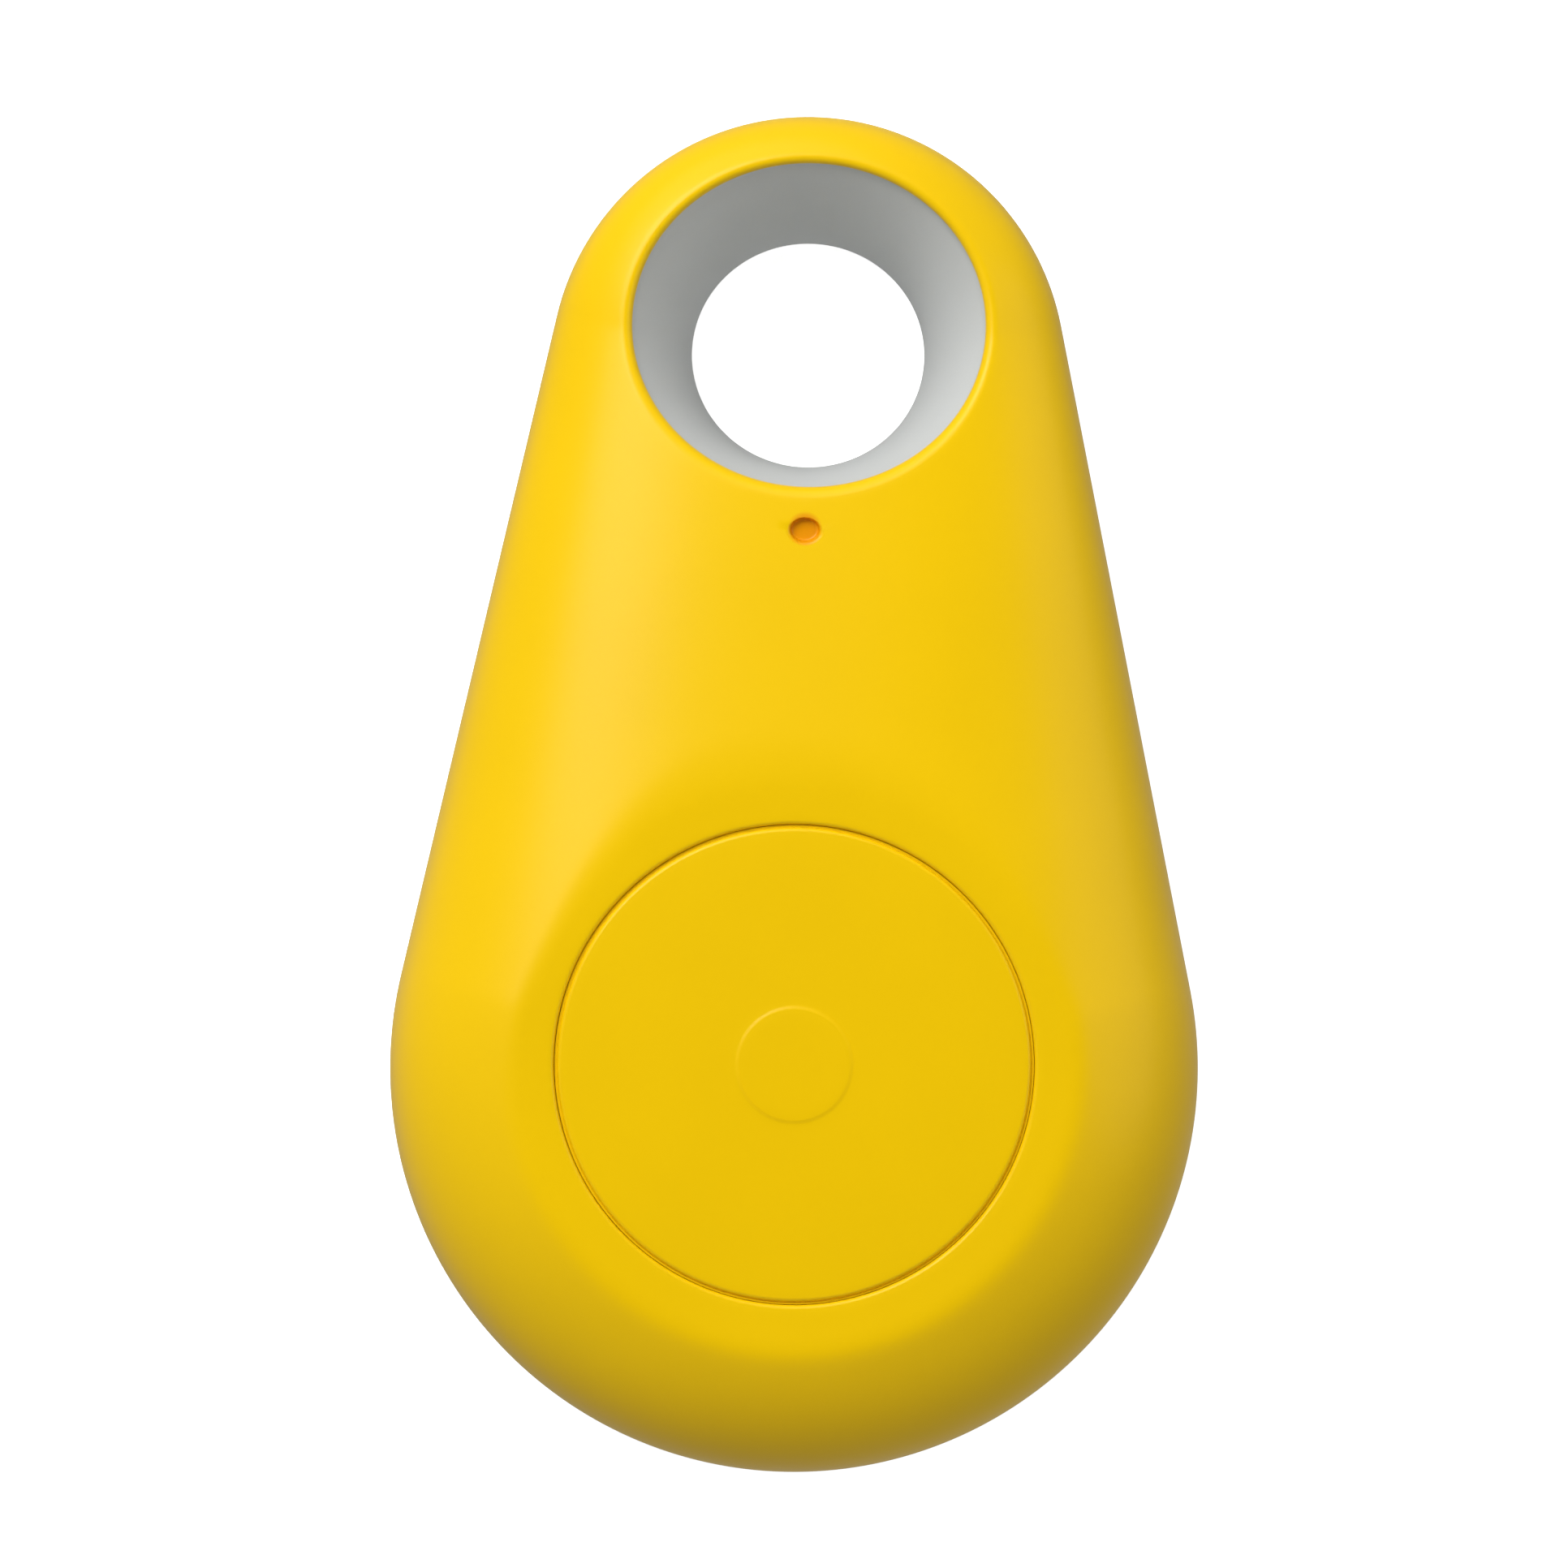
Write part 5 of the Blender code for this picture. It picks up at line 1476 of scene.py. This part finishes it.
def add_paper(name, bm, hidden_from):
    """A sheet of plain white paper that the given kinds of ray pass through."""
    finish = Finish(name + "_paper")
    fibres = finish.noise(40 * MM)
    finish.tones(fibres, (0.93, 0.93, 0.93), (0.95, 0.95, 0.95))
    finish.roughness(fibres, 0.85, 0.95)
    finish.set(Emission_Color=(1.0, 1.0, 1.0, 1.0), Emission_Strength=0.75)
    mesh = bpy.data.meshes.new(name)
    bm.to_mesh(mesh)
    bm.free()
    mesh.materials.append(finish.material)
    obj = bpy.data.objects.new(name, mesh)
    bpy.context.scene.collection.objects.link(obj)
    for ray in hidden_from:
        setattr(obj, "visible_" + ray, False)


def add_soft_light(name, bearing, elevation, size, energy):
    """A round soft light that faces the tag, with its bearing measured leftwards from +Y."""
    turn, lift = math.radians(bearing), math.radians(elevation)
    level = math.cos(lift)
    direction = Vector((-math.sin(turn) * level, math.cos(turn) * level, math.sin(lift)))
    light = bpy.data.lights.new(name, "AREA")
    light.shape = "DISK"
    light.size = size
    light.energy = energy
    obj = bpy.data.objects.new(name, light)
    obj.location = direction * LIGHT_DISTANCE
    obj.rotation_mode = "QUATERNION"
    obj.rotation_quaternion = direction.to_track_quat("Z", "Y")
    bpy.context.scene.collection.objects.link(obj)


def make_studio_walls():
    """Even pale light from all round, with a darker ceiling."""
    world = bpy.data.worlds.new("studio")
    world.use_nodes = True
    nodes = world.node_tree.nodes
    links = world.node_tree.links
    split = nodes.new("ShaderNodeSeparateXYZ")
    links.new(nodes.new("ShaderNodeTexCoord").outputs["Generated"], split.inputs["Vector"])
    fall = nodes.new("ShaderNodeMapRange")
    levels = {"From Min": 0.75, "From Max": 0.95, "To Min": 0.4, "To Max": 0.1}
    for key, value in levels.items():
        fall.inputs[key].default_value = value
    links.new(split.outputs["Z"], fall.inputs["Value"])
    links.new(fall.outputs["Result"], nodes["Background"].inputs["Strength"])
    nodes["Background"].inputs["Color"].default_value = (1.0, 1.0, 1.0, 1.0)
    bpy.context.scene.world = world


def make_stage():
    """Floor, backdrop, soft light and the camera straight above the tag."""
    unlit = ("diffuse", "glossy", "transmission")
    floor = bmesh.new()
    bmesh.ops.create_grid(floor, x_segments=8, y_segments=8, size=FLOOR_REACH)
    bmesh.ops.translate(floor, verts=floor.verts[:], vec=(0.0, 0.0, -FLOOR_DROP))
    add_paper("floor", floor, unlit)
    outer = BACKDROP_RADIUS + BACKDROP_THICKNESS
    wall = flat_ring(BACKDROP_RADIUS, outer, BACKDROP_LOW, BACKDROP_HIGH, 96, (0.0, 0.0))
    add_paper("backdrop", wall, (*unlit, "shadow"))
    add_soft_light("key_light", bearing=37.0, elevation=49.0, size=0.32, energy=1.65)
    add_soft_light("top_light", bearing=20.0, elevation=35.0, size=0.6, energy=1.1)
    add_soft_light("side_light", bearing=-80.0, elevation=28.0, size=0.4, energy=0.36)
    make_studio_walls()
    scene = bpy.context.scene
    scene.view_settings.view_transform = "Standard"
    scene.view_settings.look = "None"
    make_camera()


def make_camera():
    """Camera straight above the front, with the eye at the top of the picture."""
    scene = bpy.context.scene
    data = bpy.data.cameras.new("camera")
    data.sensor_width = SENSOR_WIDTH
    data.lens = SENSOR_WIDTH * (CAMERA_DISTANCE - FOCUS_HEIGHT) / VIEW_WIDTH
    data.clip_start = 0.01
    camera = bpy.data.objects.new("camera", data)
    camera.location = (CAMERA_X, CAMERA_Y, CAMERA_DISTANCE)
    camera.rotation_euler = (0.0, 0.0, CAMERA_ROLL)
    scene.collection.objects.link(camera)
    scene.camera = camera


# ---------------------------------------------------------------- tools and panel


class TagOperator:
    """What the tag's tools share."""

    bl_options = {"REGISTER", "UNDO"}

    def execute(self, context):
        self.make(CaseShape(context.scene.tag_sizes))
        return {"FINISHED"}


class TAG_OT_front_cover(TagOperator, bpy.types.Operator):
    """Make the domed yellow front cover"""

    bl_idname = "tag.front_cover"
    bl_label = "Front Cover"

    def make(self, shape):
        make_front_cover(shape)


class TAG_OT_rear_cover(TagOperator, bpy.types.Operator):
    """Make the white rear cover with the eye's lining"""

    bl_idname = "tag.rear_cover"
    bl_label = "Rear Cover"

    def make(self, shape):
        make_rear_cover(shape)


class TAG_OT_button(TagOperator, bpy.types.Operator):
    """Make the round press button"""

    bl_idname = "tag.button"
    bl_label = "Press Button"

    def make(self, shape):
        make_button(shape.sizes)


class TAG_OT_board(TagOperator, bpy.types.Operator):
    """Make the circuit board, its print and its antenna"""

    bl_idname = "tag.board"
    bl_label = "Circuit Board"

    def make(self, shape):
        make_board(shape)
        make_board_print(shape)
        make_antenna(shape)


class TAG_OT_switch(TagOperator, bpy.types.Operator):
    """Make the press switch under the button"""

    bl_idname = "tag.switch"
    bl_label = "Press Switch"

    def make(self, shape):
        make_switch()


class TAG_OT_chips(TagOperator, bpy.types.Operator):
    """Make the radio chip, transistor, crystal and small chips"""

    bl_idname = "tag.chips"
    bl_label = "Chips"

    def make(self, shape):
        make_radio_chip()
        make_transistor()
        make_crystal()
        make_small_chips()


class TAG_OT_indicator(TagOperator, bpy.types.Operator):
    """Make the indicator lamp"""

    bl_idname = "tag.indicator"
    bl_label = "Indicator"

    def make(self, shape):
        make_indicator()


class TAG_OT_sounder(TagOperator, bpy.types.Operator):
    """Make the sounder and finish its inner parts"""

    bl_idname = "tag.sounder"
    bl_label = "Sounder"

    def make(self, shape):
        make_sounder()


class TAG_OT_power(TagOperator, bpy.types.Operator):
    """Make the coin cell, its clip and its contact"""

    bl_idname = "tag.power"
    bl_label = "Coin Cell"

    def make(self, shape):
        make_battery_clip()
        make_coin_cell()


class TAG_OT_stage(TagOperator, bpy.types.Operator):
    """Make the floor, the lights and the camera"""

    bl_idname = "tag.stage"
    bl_label = "Stage"

    def make(self, shape):
        make_stage()


TOOLS = (
    TAG_OT_stage,
    TAG_OT_rear_cover,
    TAG_OT_board,
    TAG_OT_switch,
    TAG_OT_chips,
    TAG_OT_indicator,
    TAG_OT_sounder,
    TAG_OT_power,
    TAG_OT_button,
    TAG_OT_front_cover,
)


class TAG_PT_panel(bpy.types.Panel):
    """The tag's sizes, colours and tools"""

    bl_idname = "TAG_PT_panel"
    bl_label = "Key Finder Tag"
    bl_space_type = "VIEW_3D"
    bl_region_type = "UI"
    bl_category = "Tag"

    def draw(self, context):
        layout = self.layout
        for tool in TOOLS:
            layout.operator(tool.bl_idname)
        for group in (context.scene.tag_sizes, context.scene.tag_colours):
            box = layout.box()
            for name in group.__annotations__:
                box.prop(group, name)


CLASSES = (TagSizes, TagColours, *TOOLS, TAG_PT_panel)


def register():
    for cls in CLASSES:
        bpy.utils.register_class(cls)
    bpy.types.Scene.tag_sizes = PointerProperty(type=TagSizes)
    bpy.types.Scene.tag_colours = PointerProperty(type=TagColours)


def unregister():
    del bpy.types.Scene.tag_sizes
    del bpy.types.Scene.tag_colours
    for cls in reversed(CLASSES):
        bpy.utils.unregister_class(cls)


def main():
    register()
    for tool in TOOLS:
        group, action = tool.bl_idname.split(".")
        getattr(getattr(bpy.ops, group), action)()


if __name__ == "__main__":
    main()
